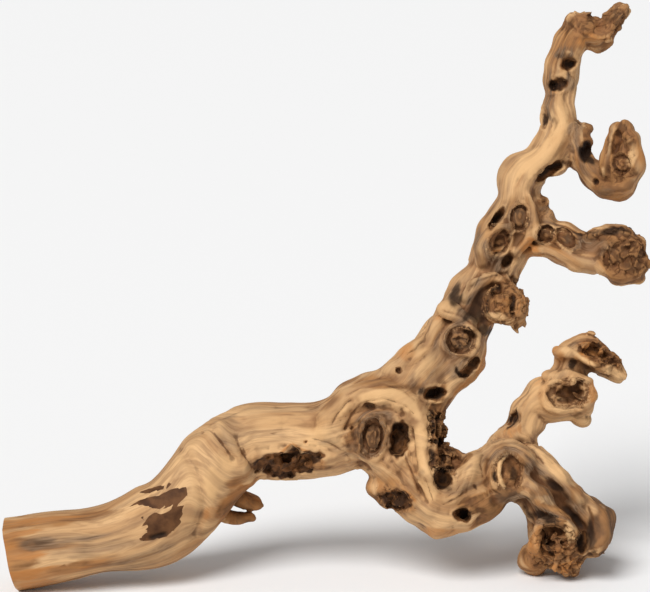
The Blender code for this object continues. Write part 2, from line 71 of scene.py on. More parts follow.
# A knot has a collar and a groove, and a hollow has a rim and a floor: each place is in the knot's or the
# hollow's own radii, and the knot's dome and groove are in heights of its collar.
KNOT_COLLAR = 1.1
KNOT_COLLAR_BREADTH = 0.2
KNOT_GROOVE = 0.82
KNOT_GROOVE_BREADTH = 0.12
KNOT_GROOVE_DEPTH = 0.9
KNOT_DOME_HEIGHT = 0.35
HOLLOW_RIM = 1.15
HOLLOW_RIM_BREADTH = 0.18
HOLLOW_FLOOR = 0.45
HOLLOW_EDGE = 1.0

# Uneven edges: how far each strays, in the radii of what it bounds, and the width of one stray in metres.
COLLAR_STRAYS = ((0.2, 0.010), (0.08, 0.004))
HOLLOW_STRAYS = ((0.34, 0.009), (0.22, 0.0036))
SQUARELY = 0.4

# The front view is measured in units of which the butt is 75 wide. In every table below, places are units
# across from the view's left edge, down from its top edge, and away from the viewer.
UNIT = BUTT_DIAMETER / 75
VIEW_MIDDLE = (325, 296)
GROUND_ROW = 590
BUTT_CUT = (10, 553, -29)
BUTT_FACING = (-0.98, 0, -0.19)

# Each limb is a row of stations: across, down, half width, away, half depth.
TRUNK = [
    (-14, 555, 37, -22, 37), (20, 551, 37, -21, 37), (50, 546, 36, -19, 36), (90, 541, 34, -16, 35),
    (125, 535, 38, -12, 36), (158, 522, 43, -7, 38), (187, 500, 41, -1, 38), (215, 467, 40, 4, 37),
    (248, 443, 38, 7, 36), (288, 441, 37, 8, 36), (325, 438, 36, 6, 37), (361, 424, 43, 2, 40),
    (397, 407, 45, 0, 40), (428, 375, 37, 5, 34), (452, 346, 36, 11, 33), (473, 309, 30, 15, 30),
    (493, 272, 26, 20, 27), (506, 240, 30, 20, 28), (519, 207, 26, 14, 26), (524, 183, 25, 12, 28),
    (547, 159, 22, 18, 26), (562, 130, 19, 25, 21), (558, 105, 17, 29, 17), (561, 80, 18, 32, 17),
    (566, 55, 17, 33, 17), (580, 31, 22, 30, 18), (601, 33, 15, 26, 14), (613, 19, 12, 20, 10),
    (622, 9, 9, 16, 8),
]
LOWER_LIMB = [
    (376, 430, 38, 0, 38), (403, 462, 36, -3, 38), (438, 493, 41, -7, 36), (478, 487, 36, -4, 34),
    (508, 470, 30, 2, 32), (535, 478, 29, 6, 31), (555, 505, 33, 13, 32), (568, 528, 42, 18, 36),
    (563, 540, 34, 16, 34),
]
HUB_BRANCH = [
    (507, 468, 27, 10, 26), (514, 443, 22, 16, 22), (532, 405, 22, 20, 20), (565, 395, 28, 12, 25),
    (569, 367, 20, 14, 17), (584, 353, 20, 12, 17), (604, 363, 15, 8, 14), (615, 372, 12, 6, 10),
]
RIGHT_BRANCH = [
    (518, 234, 27, 18, 22), (549, 234, 23, 14, 20), (568, 244, 21, 8, 20), (588, 252, 21, 0, 19),
    (608, 251, 29, -10, 24), (624, 256, 31, -22, 24), (636, 257, 19, -29, 17),
]
HOOK = [
    (565, 136, 20, 24, 20), (580, 152, 17, 18, 17), (590, 171, 13, 8, 14), (606, 184, 15, -4, 14),
    (621, 179, 20, -16, 14), (622, 159, 21, -22, 13), (622, 142, 19, -24, 11), (622, 133, 12, -24, 8),
]
UPPER_PRONG = [
    (212, 486, 10, 24, 10), (238, 497, 10, 32, 9), (255, 502, 8, 38, 8),
]
LOWER_PRONG = [
    (208, 510, 8, 24, 9), (234, 517, 7, 30, 8), (251, 518, 6, 34, 6),
]
REAR_FOOT = [
    (560, 517, 30, 36, 28), (566, 528, 25, 78, 24), (566, 534, 17, 114, 17),
]
LIMBS = [TRUNK, LOWER_LIMB, HUB_BRANCH, RIGHT_BRANCH, HOOK, UPPER_PRONG, LOWER_PRONG, REAR_FOOT]
# Each strand is a thin limb that lies on another and is fused into it, with creases along its sides.
STRANDS = [
    [(318, 446, 7, -21, 8), (330, 424, 11, -22, 12), (343, 406, 12, -24, 13), (362, 396, 12, -26, 14),
     (384, 394, 12, -28, 14), (404, 402, 12, -28, 14), (419, 417, 11, -28, 14), (427, 440, 11, -29, 14),
     (427, 466, 11, -32, 13), (434, 494, 10, -34, 11), (442, 510, 7, -28, 8)],
    [(436, 504, 8, -31, 9), (454, 494, 9, -33, 9), (467, 479, 9, -31, 9), (473, 463, 8, -27, 8),
     (486, 451, 7, -25, 8)],
    [(490, 490, 5, -20, 7), (484, 470, 7, -23, 9), (491, 453, 7, -24, 9), (508, 445, 7, -22, 9),
     (524, 452, 7, -22, 9), (531, 469, 7, -22, 9), (526, 487, 7, -20, 9), (512, 497, 5, -18, 7)],
    [(530, 452, 8, -12, 9), (546, 464, 9, -12, 10), (562, 480, 9, -12, 10), (576, 496, 8, -8, 10)],
    [(532, 484, 7, -24, 8), (546, 498, 8, -23, 9), (560, 513, 7, -21, 9), (574, 532, 6, -18, 9)],
    [(584, 500, 7, -2, 9), (598, 518, 8, -5, 9), (601, 538, 7, -5, 9), (592, 554, 6, -2, 8)],
    [(392, 371, 8, -21, 9), (411, 357, 9, -20, 10), (424, 341, 8, -17, 9), (436, 323, 7, -12, 8)],
    [(444, 307, 6, -16, 8), (458, 313, 7, -20, 8), (474, 325, 6, -20, 8)],
    [(468, 298, 6, -12, 7), (479, 284, 7, -14, 8), (495, 277, 7, -14, 8), (508, 283, 6, -12, 8)],
    [(482, 262, 6, -6, 7), (486, 244, 6, -10, 7), (496, 230, 6, -12, 7), (510, 226, 5, -12, 7)],
    [(516, 252, 6, -8, 8), (530, 236, 7, -12, 8), (534, 214, 7, -12, 8), (530, 196, 6, -12, 8)],
    [(536, 249, 6, -2, 8), (556, 252, 7, -8, 8), (580, 260, 7, -14, 8), (602, 267, 6, -20, 8)],
    [(584, 238, 4, -9, 9), (600, 235, 6, -18, 10), (619, 236, 6, -26, 11), (634, 241, 5, -32, 9)],
    [(548, 374, 6, 0, 7), (564, 373, 7, -6, 7), (580, 378, 6, -9, 7), (586, 391, 6, -9, 8),
     (582, 405, 6, -9, 8)],
    [(556, 352, 6, 0, 7), (572, 354, 7, -6, 7), (590, 362, 7, -8, 7), (608, 372, 6, -8, 7)],
    [(604, 188, 6, -12, 7), (626, 186, 7, -26, 8), (638, 166, 6, -30, 8), (633, 140, 5, -30, 7)],
    [(534, 546, 6, -12, 7), (536, 528, 7, -16, 8), (552, 520, 7, -18, 8), (570, 526, 6, -18, 8)],
]
ROUND_END = [math.radians(angle) for angle in (15, 35, 55, 75)]

# Each burl is an egg fused into the limb: across, down, away, then its half width, height and depth.
BURLS = [
    (506, 307, -6, 26, 24, 22), (387, 489, -8, 20, 20, 22), (593, 525, 24, 24, 32, 30),
    (534, 558, 28, 15, 15, 16), (573, 566, 22, 11, 12, 12), (430, 404, -2, 13, 12, 12),
    (434, 430, -6, 12, 13, 14), (446, 457, -8, 16, 15, 20), (373, 437, -26, 15, 22, 14),
    (461, 340, -14, 17, 17, 12), (585, 128, 22, 7, 7, 8), (581, 421, 12, 10, 8, 14),
    (473, 366, 4, 15, 15, 22), (548, 528, 62, 20, 20, 22), (574, 541, 92, 13, 12, 14),
    (560, 534, 118, 15, 12, 13), (430, 470, 22, 22, 20, 20), (300, 425, 32, 24, 18, 14),
    (196, 490, 28, 24, 18, 12), (498, 262, 38, 20, 18, 14), (452, 344, 34, 18, 18, 14),
    (634, 243, -24, 12, 12, 12), (632, 270, -24, 12, 12, 12), (519, 325, -4, 6, 7, 7),
]

# Each cord is a strand that stands out of the skin, or where its rise is below nothing a crease that sinks
# into it: its half breadth, its rise, its side, and the places that it runs through, across and down.
CORDS = [
    (10, 5, -1, [(327, 432), (334, 414), (349, 402), (369, 394), (391, 394), (408, 402), (421, 419),
     (427, 470)]),
    (4, -4, -1, [(344, 430), (353, 414), (367, 408), (386, 408), (401, 414), (410, 430), (412, 455),
     (421, 494)]),
    (7, 4, -1, [(427, 474), (437, 497), (452, 499), (466, 482), (474, 458)]),
    (4, -3, -1, [(392, 462), (404, 484), (424, 502)]),
    (7, 3, -1, [(380, 458), (390, 474), (412, 492), (428, 512)]), (4, -3, -1, [(213, 428), (232, 458)]),
    (4, -3, -1, [(236, 438), (253, 470)]), (6, 3, -1, [(220, 425), (243, 462), (250, 482)]),
    (5, -3, -1, [(172, 440), (196, 468), (206, 505), (196, 535)]),
    (8, 3, -1, [(232, 410), (275, 415), (322, 412), (345, 392), (392, 366)]),
    (8, 3, -1, [(402, 352), (424, 346), (436, 330), (444, 306), (464, 284), (486, 276)]),
    (4, -4, -1, [(426, 322), (425, 345), (410, 358)]), (5, -4, -1, [(468, 290), (484, 283), (500, 276)]),
    (7, 4, -1, [(441, 308), (462, 318), (482, 330)]), (4, -4, -1, [(484, 322), (473, 332), (476, 350)]),
    (6, 3, -1, [(478, 250), (490, 226), (508, 204), (530, 172), (562, 140)]),
    (4, -3, -1, [(512, 264), (530, 244), (531, 222)]),
    (5, 3, -1, [(536, 252), (556, 254), (590, 262), (612, 276)]),
    (5, 4, -1, [(578, 238), (590, 234), (606, 230), (630, 234)]),
    (5, 4, -1, [(502, 452), (497, 472), (503, 492)]), (4, -4, -1, [(489, 462), (488, 484), (496, 500)]),
    (6, 4, -1, [(524, 456), (544, 470), (560, 486), (578, 492)]),
    (4, -4, -1, [(534, 474), (548, 484), (562, 506), (584, 532)]),
    (6, 4, -1, [(530, 494), (548, 508), (566, 520), (580, 540)]),
    (5, -4, -1, [(522, 502), (532, 516), (530, 536)]),
    (5, 4, -1, [(586, 500), (602, 512), (606, 534), (596, 552)]),
    (6, 4, -1, [(604, 188), (628, 186), (637, 166), (630, 140)]),
    (4, -4, -1, [(609, 172), (617, 152), (619, 134)]), (5, 3, -1, [(560, 352), (580, 346), (604, 366)]),
    (9, 4, 1, [(60, 545), (130, 528), (190, 490), (225, 440), (300, 418), (380, 396), (440, 350)]),
    (5, -4, 1, [(110, 556), (170, 530), (212, 488), (250, 450), (330, 446)]),
    (8, 4, 1, [(400, 420), (430, 450), (470, 470), (520, 458), (560, 480)]),
    (5, -4, 1, [(370, 440), (410, 470), (450, 500), (490, 496)]),
    (7, 4, 1, [(450, 330), (480, 290), (500, 250), (520, 190), (556, 140), (562, 70)]),
    (4, -4, 1, [(440, 372), (468, 322), (490, 288)]),
]

# Each knot is a low ringed disc on the skin: across, down, half length, half breadth, its turn in the view
# in degrees, and how far it rises. The side is -1 on the front and 1 on the back.
KNOTS = [
    (373, 437, 20, 13, 85, 5, -1), (461, 340, 15, 14, 0, 4, -1), (504, 305, 21, 18, 20, 0.6, -1),
    (499, 242, 14, 10, 50, 4, -1), (520, 217, 13, 9, 80, 4, -1), (546, 235, 10, 9, 0, 4, -1),
    (566, 240, 14, 8, -35, 4, -1), (508, 472, 19, 15, 90, 2, -1), (555, 541, 20, 16, 0, 2, -1),
    (569, 394, 23, 15, 10, 4, -1), (626, 258, 20, 17, 0, 2, -1), (623, 165, 12, 9, 90, 3, -1),
    (300, 430, 22, 16, 15, 3, 1), (420, 480, 24, 19, 40, 4, 1), (500, 262, 18, 14, 60, 3, 1),
    (205, 478, 20, 15, 40, 3, 1),
]

# Each hollow is eaten into the wood: across, down, half length, half breadth, its turn in the view in
# degrees, its depth, and the side it is on.
HOLLOWS = [
    (288, 463, 36, 13, 4, 14, -1), (292, 455, 14, 8, 30, 10, -1), (380, 438, 34, 28, 0, 5, -1),
    (399, 440, 19, 10, 82, 17, -1), (464, 515, 10, 8, 20, 14, -1), (471, 366, 15, 6, 48, 9, -1),
    (497, 220, 14, 4, 55, 8, -1), (551, 171, 20, 6, 33, 9, -1), (398, 500, 18, 10, -12, 11, -1),
    (435, 393, 13, 7, 10, 14, -1), (443, 479, 11, 10, 0, 12, -1), (515, 419, 10, 7, 50, 9, -1),
    (569, 394, 20, 12, 10, 7, -1), (569, 64, 9, 7, 30, 9, -1), (559, 84, 10, 8, 10, 10, -1),
    (545, 118, 11, 5, 85, 6, -1), (507, 261, 10, 5, 60, 8, -1), (586, 152, 11, 7, 80, 9, -1),
    (583, 543, 10, 5, 80, 9, -1), (594, 353, 16, 6, -25, 6, -1), (552, 543, 5, 4, 0, 7, -1),
    (564, 543, 4, 4, 0, 7, -1), (480, 440, 24, 10, 20, 12, 1), (350, 440, 20, 9, 10, 12, 1),
    (445, 352, 18, 8, 50, 10, 1), (530, 180, 14, 7, 60, 8, 1), (560, 505, 16, 9, 40, 9, 1),
    (130, 530, 22, 7, 15, 7, 1),
]

# Each nudge shifts the wood near a place: across, down, its reach, and how far it moves it across and down.
NUDGES = [
    (115, 577, 30, 0, -4), (148, 478, 12, 0, 3), (188, 438, 14, -2, -1), (228, 407, 12, 1, 2),
    (250, 524, 9, -1, -3), (326, 393, 12, 3, 3), (362, 473, 12, 2, -3), (373, 502, 10, 2, -3),
    (438, 531, 14, 0, 8), (437, 301, 11, 3, 3), (494, 195, 9, 4, -1), (482, 213, 9, 3, 2),
    (476, 237, 8, -2, 0), (463, 260, 11, 9, 1), (455, 281, 10, -4, -2), (499, 331, 12, -2, -8),
    (467, 381, 9, 1, 4), (503, 420, 10, 4, 2), (455, 442, 9, -1, 5), (490, 444, 9, -3, -3),
    (475, 448, 7, 1, 3), (508, 504, 9, 0, -5), (489, 517, 10, 1, 4), (557, 23, 10, 5, 2),
    (556, 46, 12, -4, -1), (548, 62, 10, -3, -1), (541, 94, 11, 4, 0), (544, 121, 9, -4, 0),
    (552, 185, 10, -5, -6), (562, 168, 8, 2, 2), (545, 204, 8, 4, -3), (545, 189, 8, -4, 3),
    (562, 214, 9, -5, 7), (562, 260, 12, -1, 3), (515, 280, 7, 3, 1), (531, 307, 10, -4, -1),
    (549, 362, 12, 8, 3), (518, 390, 11, 5, 3), (562, 425, 8, 2, -3), (543, 426, 7, 3, 1),
    (540, 441, 8, -3, -4), (556, 456, 12, -2, 2), (526, 530, 10, 3, 1), (523, 566, 8, -3, 2),
    (553, 572, 8, 3, -5), (617, 5, 7, 0, -4), (577, 15, 10, -1, -4), (619, 37, 8, -5, -1),
    (599, 48, 6, 0, 4), (586, 56, 8, -5, -2), (574, 90, 15, 3, 0), (619, 117, 10, 0, 5),
    (595, 152, 9, -3, 1), (574, 177, 9, 4, -4), (593, 196, 8, 2, -3), (613, 203, 12, 0, -4),
    (618, 220, 12, -1, 5), (582, 227, 12, -1, 6), (573, 265, 10, 0, 5), (597, 271, 9, 0, 4),
    (605, 279, 6, 0, -4), (626, 280, 10, 0, 5), (584, 331, 14, 0, 3), (626, 367, 7, -5, -2),
    (588, 409, 9, 5, 3), (598, 389, 9, -5, 1), (576, 431, 11, 0, -5), (580, 481, 12, -6, 3),
    (606, 501, 10, -2, 4), (584, 488, 7, -3, 2), (617, 533, 10, -4, 0), (587, 566, 9, -4, -4),
    (571, 575, 9, 0, 2), (515, 498, 6, 0, 5), (641, 184, 14, -4, -1), (633, 223, 9, -4, 5),
    (650, 254, 9, -6, 0), (641, 239, 6, 5, 0), (637, 277, 8, 3, 3),
]


def place(across, down, away):
    """The point that is seen at this place: what lies farther away stands farther from the middle."""
    spread = 1 + away * UNIT / VIEW_DISTANCE
    middle_across, middle_down = VIEW_MIDDLE
    right = middle_across + (across - middle_across) * spread
    below = middle_down + (down - middle_down) * spread
    return Vector((right * UNIT, away * UNIT, (GROUND_ROW - below) * UNIT))


def smooth_row(stations, per_span=6):
    """The stations with more between them, on a smooth curve through them all."""
    rows = np.array(stations, float)
    rows = np.vstack([2 * rows[0] - rows[1], rows, 2 * rows[-1] - rows[-2]])
    finer = []
    for span in range(1, len(rows) - 2):
        before, start, end, after = rows[span - 1 : span + 3]
        pull = end - before
        bend = 2 * before - 5 * start + 4 * end - after
        twist = 3 * (start - end) + after - before
        shares = np.arange(per_span) / per_span
        finer += [start + (pull * t + bend * t**2 + twist * t**3) / 2 for t in shares]
    return np.array(finer + [rows[-2]])


class Limb:
    """A limb's centre line with, at each point, its direction, the two axes across it and its two radii."""

    def __init__(self, stations):
        rows = smooth_row(stations)
        self.centres = np.array([place(across, down, away) for across, down, _, away, _ in rows])
        self.half_widths = rows[:, 2] * UNIT
        self.half_depths = rows[:, 4] * UNIT
        along = np.gradient(self.centres, axis=0)
        steps = np.linalg.norm(np.diff(self.centres, axis=0), axis=1)
        self.lengths = np.concatenate([[0], np.cumsum(steps)])
        self.along = along / np.linalg.norm(along, axis=1, keepdims=True)
        beside = np.stack([-along[:, 2], np.zeros(len(along)), along[:, 0]], 1)
        self.beside = beside / np.linalg.norm(beside, axis=1, keepdims=True)
        self.behind = np.cross(self.beside, self.along)

    def continue_from(self, trunk):
        """The branch's grain goes on from the trunk's where the branch starts."""
        gaps = np.linalg.norm(trunk.centres - self.centres[0], axis=1)
        self.lengths = self.lengths + trunk.lengths[gaps.argmin()]

    def sweep(self, bm, sides=28):
        """A closed tube with round ends."""
        last = len(self.centres) - 1
        rings = [(0, -math.sin(angle), math.cos(angle)) for angle in reversed(ROUND_END)]
        rings += [(index, 0, 1) for index in range(last + 1)]
        rings += [(last, math.sin(angle), math.cos(angle)) for angle in ROUND_END]
        tube = []
        for index, beyond, share in rings:
            centre = self.centres[index] + self.along[index] * self.half_widths[index] * beyond
            wide = self.beside[index] * self.half_widths[index] * share
            deep = self.behind[index] * self.half_depths[index] * share
            turns = [2 * math.pi * side / sides for side in range(sides)]
            tube.append([bm.verts.new(centre + wide * math.cos(a) + deep * math.sin(a)) for a in turns])
        for one, two in zip(tube, tube[1:]):
            for side in range(sides):
                following = (side + 1) % sides
                bm.faces.new((one[side], one[following], two[following], two[side]))
        bm.faces.new(reversed(tube[0]))
        bm.faces.new(tube[-1])

    def grain(self, points):
        """How far each point is from the centre line in radii, and its place round and along the limb."""
        tree = kdtree.KDTree(len(self.centres))
        for index, centre in enumerate(self.centres):
            tree.insert(centre, index)
        tree.balance()
        nearest = np.array([tree.find(point)[1] for point in points])
        offset = points - self.centres[nearest]
        wide = (offset * self.beside[nearest]).sum(1) / self.half_widths[nearest]
        deep = (offset * self.behind[nearest]).sum(1) / self.half_depths[nearest]
        length = self.lengths[nearest] + (offset * self.along[nearest]).sum(1)
        beyond = np.maximum(np.maximum(self.lengths[0] - length, length - self.lengths[-1]), 0)
        radii = np.hypot(wide, deep)
        round_limb = np.stack([wide, deep], 1) / np.maximum(radii, 0.1)[:, None]
        around = round_limb * self.half_widths.mean()
        return radii + beyond / self.half_widths.mean(), np.column_stack([around, length])


def add_burl(bm, burl):
    across, down, away, half_width, half_height, half_depth = burl
    egg = Matrix.Diagonal((half_width * UNIT, half_depth * UNIT, half_height * UNIT, 1))
    where = Matrix.Translation(place(across, down, away))
    bmesh.ops.create_icosphere(bm, subdivisions=3, radius=1, matrix=where @ egg)


def apply_modifiers(wood):
    """The object keeps the mesh that its modifiers make, and loses the modifiers."""
    graph = bpy.context.evaluated_depsgraph_get()
    wood.data = bpy.data.meshes.new_from_object(wood.evaluated_get(graph))
    wood.modifiers.clear()


def fuse(wood, relaxed_over):
    """One even skin round everything in the mesh, with its creases relaxed over a width in metres."""
    remesh = wood.modifiers.new("one skin", "REMESH")
    remesh.mode = "VOXEL"
    remesh.voxel_size = SKIN_CELL
    soften = wood.modifiers.new("soft joints", "SMOOTH")
    soften.factor = 0.5
    soften.iterations = max(1, round((relaxed_over / SKIN_CELL) ** 2))
    apply_modifiers(wood)


def smooth_step(low, high, values):
    share = np.clip((values - low) / (high - low), 0, 1)
    return share * share * (3 - 2 * share)


def seen(points):
    """Where each point is seen in the front view, across and down."""
    spread = 1 + points[:, 1] / VIEW_DISTANCE
    flat = np.stack([points[:, 0] / UNIT, GROUND_ROW - points[:, 2] / UNIT], 1)
    return (flat - VIEW_MIDDLE) / spread[:, None] + VIEW_MIDDLE


def facing(normals, side):
    """How squarely the skin faces the viewer or, on the other side, away from the viewer."""
    return smooth_step(0, SQUARELY, normals[:, 1] * side)


def in_radii(points, disc):
    """Each point's distance from a disc's middle, in the disc's own radii."""
    across, down, half_length, half_breadth, turn = disc[:5]
    right, below = (seen(points) - (across, down)).T
    cosine, sine = math.cos(math.radians(turn)), math.sin(math.radians(turn))
    lengthwise = (right * cosine - below * sine) / half_length
    crosswise = (right * sine + below * cosine) / half_breadth
    return np.hypot(lengthwise, crosswise)


def from_line(points, line):
    """Each point's distance from a line through places in the front view, in its units."""
    nearest = np.full(len(points), np.inf)
    offsets = seen(points)
    for start, end in zip(np.array(line[:-1], float), np.array(line[1:], float)):
        run = end - start
        share = np.clip((offsets - start) @ run / (run @ run), 0, 1)
        nearest = np.minimum(nearest, np.linalg.norm(offsets - start - share[:, None] * run, axis=1))
    return nearest


def rough(places):
    """A smooth noise at each place."""
    return np.array([noise.noise(place) for place in places.tolist()])


def strays(places, sizes):
    """How far an uneven edge strays at each place."""
    return sum(height * rough(places / width) for height, width in sizes)


def grain_of(points, limbs):
    """Each point's place in the grain, round the limb and along it, blended where limbs meet."""
    found = [limb.grain(points) for limb in limbs]
    nearness = np.array([radii for radii, _ in found])
    shares = np.exp(-LIMB_BLEND * (nearness - nearness.min(0)))
    shares /= shares.sum(0)
    return sum(share[:, None] * places for share, (_, places) in zip(shares, found))


def nudge(points, normals):
    """Moves places of the skin within the view, so that the outline follows the real one."""
    for across, down, reach, move_across, move_down in NUDGES:
        gaps = np.linalg.norm(seen(points) - (across, down), axis=1)
        share = np.exp(-((gaps / reach) ** 2))
        points = points + share[:, None] * np.array([move_across, 0, -move_down]) * UNIT
    return points


def flute(points, normals):
    """Long shallow ridges that follow each limb, and knobbly lumps towards the branching end."""
    grain = grain_of(points, limbs) * [1, 1, ALONG_GRAIN] / FLUTE_WIDTH
    height = 2 * FLUTE_HEIGHT * rough(grain)
    lumps = smooth_step(GNARLED_FROM, GNARLED_BY, seen(points)[:, 0])
    height += 2 * GNARL_HEIGHT * rough(points / GNARL_WIDTH) * lumps
    return points + normals * height[:, None]


def raise_cords(points, normals):
    """Strands stand out along the limb, and creases run between them."""
    for half_breadth, rise, side, line in CORDS:
        height = rise * UNIT * np.exp(-((from_line(points, line) / half_breadth) ** 2))
        points = points + normals * (height * facing(normals, side))[:, None]
    return points


def raise_knots(points, normals):
    """An uneven collar stands round each knot, and the knot lies inside a groove."""
    uneven = strays(points, COLLAR_STRAYS)
    for knot in KNOTS:
        radius = in_radii(points, knot) + uneven
        collar = np.exp(-(((radius - KNOT_COLLAR) / KNOT_COLLAR_BREADTH) ** 2))
        groove = np.exp(-(((radius - KNOT_GROOVE) / KNOT_GROOVE_BREADTH) ** 2))
        dome = 1 - smooth_step(0, KNOT_GROOVE, radius)
        rise, side = knot[5:]
        height = rise * UNIT * (collar + KNOT_DOME_HEIGHT * dome - KNOT_GROOVE_DEPTH * groove)
        points = points + normals * (height * facing(normals, side))[:, None]
    return points


def frayed(points):
    """How far an uneven edge strays at each place in the front view, in the radii of what it bounds."""
    return strays(np.insert(seen(points) * UNIT, 1, 0, axis=1), HOLLOW_STRAYS)


def eat_hollows(points, normals):
    """The soft wood has rotted out, and the hollows' edges are uneven."""
    uneven = frayed(points)
    for hollow in HOLLOWS:
        radius = in_radii(points, hollow) + uneven
        depth, side = hollow[5:]
        share = facing(normals, side)
        fall = 1 - smooth_step(HOLLOW_FLOOR, HOLLOW_EDGE, radius)
        rim = np.exp(-(((radius - HOLLOW_RIM) / HOLLOW_RIM_BREADTH) ** 2))
        points = points + normals * (rim * share * HOLLOW_RIM_HEIGHT)[:, None]
        points[:, 1] -= fall * share * depth * UNIT * side
    return points


def skin_of(wood):
    """The skin's points and normals, as rows."""
    mesh = wood.data
    points = np.empty(len(mesh.vertices) * 3)
    normals = np.empty(len(mesh.vertices) * 3)
    mesh.vertices.foreach_get("co", points)
    mesh.vertices.foreach_get("normal", normals)
    return points.reshape(-1, 3), normals.reshape(-1, 3)


def carve(wood, work):
    """Moves the skin's points by one piece of work."""
    wood.data.vertices.foreach_set("co", work(*skin_of(wood)).ravel())
    wood.data.update()


def saw(bm, point, normal):
    """Cuts away what lies beyond a plane and closes the cut with one flat face."""
    geometry = bm.verts[:] + bm.edges[:] + bm.faces[:]
    bmesh.ops.bisect_plane(bm, geom=geometry, plane_co=point, plane_no=normal, clear_outer=True)
    open_edges = [edge for edge in bm.edges if edge.is_boundary]
    bmesh.ops.holes_fill(bm, edges=open_edges)


def drop_crumbs(bm):
    """Deletes the scraps that hang together with nothing, so that one whole skin is left."""
    left = set(bm.faces)
    islands = []
    for first in bm.faces:
        if first not in left:
            continue
        left.remove(first)
        island = [first]
        for face in island:
            beside = {other for edge in face.edges for other in edge.link_faces} & left
            left -= beside
            island += sorted(beside, key=lambda other: other.index)
        islands.append(island)
    islands.sort(key=len)
    crumbs = [face for island in islands[:-1] for face in island]
    bmesh.ops.delete(bm, geom=crumbs, context="FACES")


# Old bark still clings in the fork, on the burls and on the branches' ends as chips with torn edges: across,
# down, away, then half length, half breadth, half depth and its turn in the view in degrees.
CHIPS = [
    (436, 405, -16, 11, 7, 9, 12), (441, 410, -12, 8, 6, 8, -40), (432, 397, -8, 8, 3, 8, 30),
    (440, 422, -18, 11, 6, 10, 60), (443, 430, -14, 9, 5, 7, -20), (438, 434, -20, 8, 4, 9, 80),
    (444, 436, -16, 8, 4, 7, 30), (441, 448, -24, 11, 6, 9, 25), (450, 456, -24, 12, 8, 9, -35),
    (458, 462, -20, 9, 5, 8, 40), (446, 446, -24, 8, 5, 8, 10), (440, 461, -24, 8, 5, 8, 70),
    (452, 466, -20, 9, 5, 7, -10), (443, 464, -26, 8, 5, 5, 15), (449, 479, -16, 7, 6, 7, 20),
    (449, 481, -20, 5, 4, 7, 70), (520, 291, -4, 8, 5, 9, -50), (527, 301, -2, 8, 4, 9, -80),
    (528, 312, -2, 8, 4, 8, 80), (522, 321, -4, 9, 5, 7, -40), (516, 328, -6, 8, 4, 6, -65),
    (515, 302, -18, 11, 7, 7, 70), (513, 314, -18, 10, 5, 6, 20), (494, 289, -24, 8, 4, 5, 40),
    (507, 296, -25, 7, 5, 5, -50), (503, 308, -26, 9, 5, 5, 20), (514, 306, -22, 8, 4, 6, 80),
    (588, 232, -8, 7, 3, 6, 25), (600, 229, -12, 8, 3, 7, 5), (613, 231, -18, 8, 3, 7, -5),
    (626, 234, -24, 8, 3, 7, -10), (638, 237, -28, 6, 3, 6, 10), (590, 238, -14, 8, 2, 5, 10),
    (606, 236, -24, 8, 2, 5, 0), (612, 259, -38, 8, 6, 6, 80), (632, 254, -42, 8, 6, 6, 40),
    (622, 270, -40, 9, 5, 6, 10), (640, 266, -34, 7, 5, 8, 80), (625, 245, -42, 8, 4, 5, 0),
    (638, 279, -26, 6, 4, 6, -30), (617, 281, -22, 6, 3, 6, 10), (591, 130, 18, 4, 3, 4, 30),
    (592, 144, 14, 4, 3, 4, 70), (577, 121, 24, 4, 2, 4, 60), (607, 15, 20, 6, 4, 5, 30),
    (615, 24, 16, 6, 4, 6, -40), (625, 7, 12, 4, 3, 5, 20), (626, 14, 12, 4, 3, 5, 80),
    (574, 14, 26, 7, 4, 8, -20), (588, 14, 24, 7, 4, 8, 20), (609, 38, 14, 7, 5, 6, 70),
    (592, 333, 4, 7, 3, 6, 0), (586, 346, -6, 9, 5, 6, 10), (602, 350, -4, 9, 4, 6, 40),
    (612, 358, -6, 8, 4, 6, 30), (618, 366, -4, 6, 4, 6, -20), (596, 342, -2, 8, 4, 6, 35),
    (566, 383, -18, 12, 4, 5, -8), (572, 380, -20, 6, 5, 5, 60), (560, 398, -8, 10, 3, 5, 5),
    (578, 396, -14, 10, 3, 5, -25), (403, 500, -26, 13, 8, 7, 4), (385, 502, -22, 8, 5, 6, 70),
    (392, 492, -24, 7, 3, 5, 0), (296, 458, -18, 9, 4, 5, 30), (312, 464, -20, 9, 5, 5, -10),
    (284, 466, -16, 10, 3, 5, 20), (320, 460, -22, 6, 4, 4, 40), (398, 436, -18, 14, 4, 5, -60),
    (399, 448, -20, 8, 4, 4, -50), (556, 538, -18, 8, 5, 6, 60), (547, 548, -16, 8, 4, 6, -30),
    (562, 552, -14, 8, 5, 6, 20), (570, 560, -8, 9, 5, 8, -30), (578, 567, 0, 7, 4, 8, 60),
    (566, 570, -2, 8, 5, 8, 10), (574, 574, 6, 6, 3, 6, -20), (556, 566, -4, 8, 4, 7, 70),
    (581, 556, -4, 8, 4, 6, 40), (594, 556, 6, 9, 4, 8, 10), (600, 550, 8, 7, 3, 7, -30),
    (572, 532, -24, 9, 4, 4, 70), (538, 540, -18, 12, 4, 5, 80), (550, 524, -22, 10, 4, 4, 10),
]
CHIP_CORNERS = 14
CHIP_REACH = (0.75, 1.15)


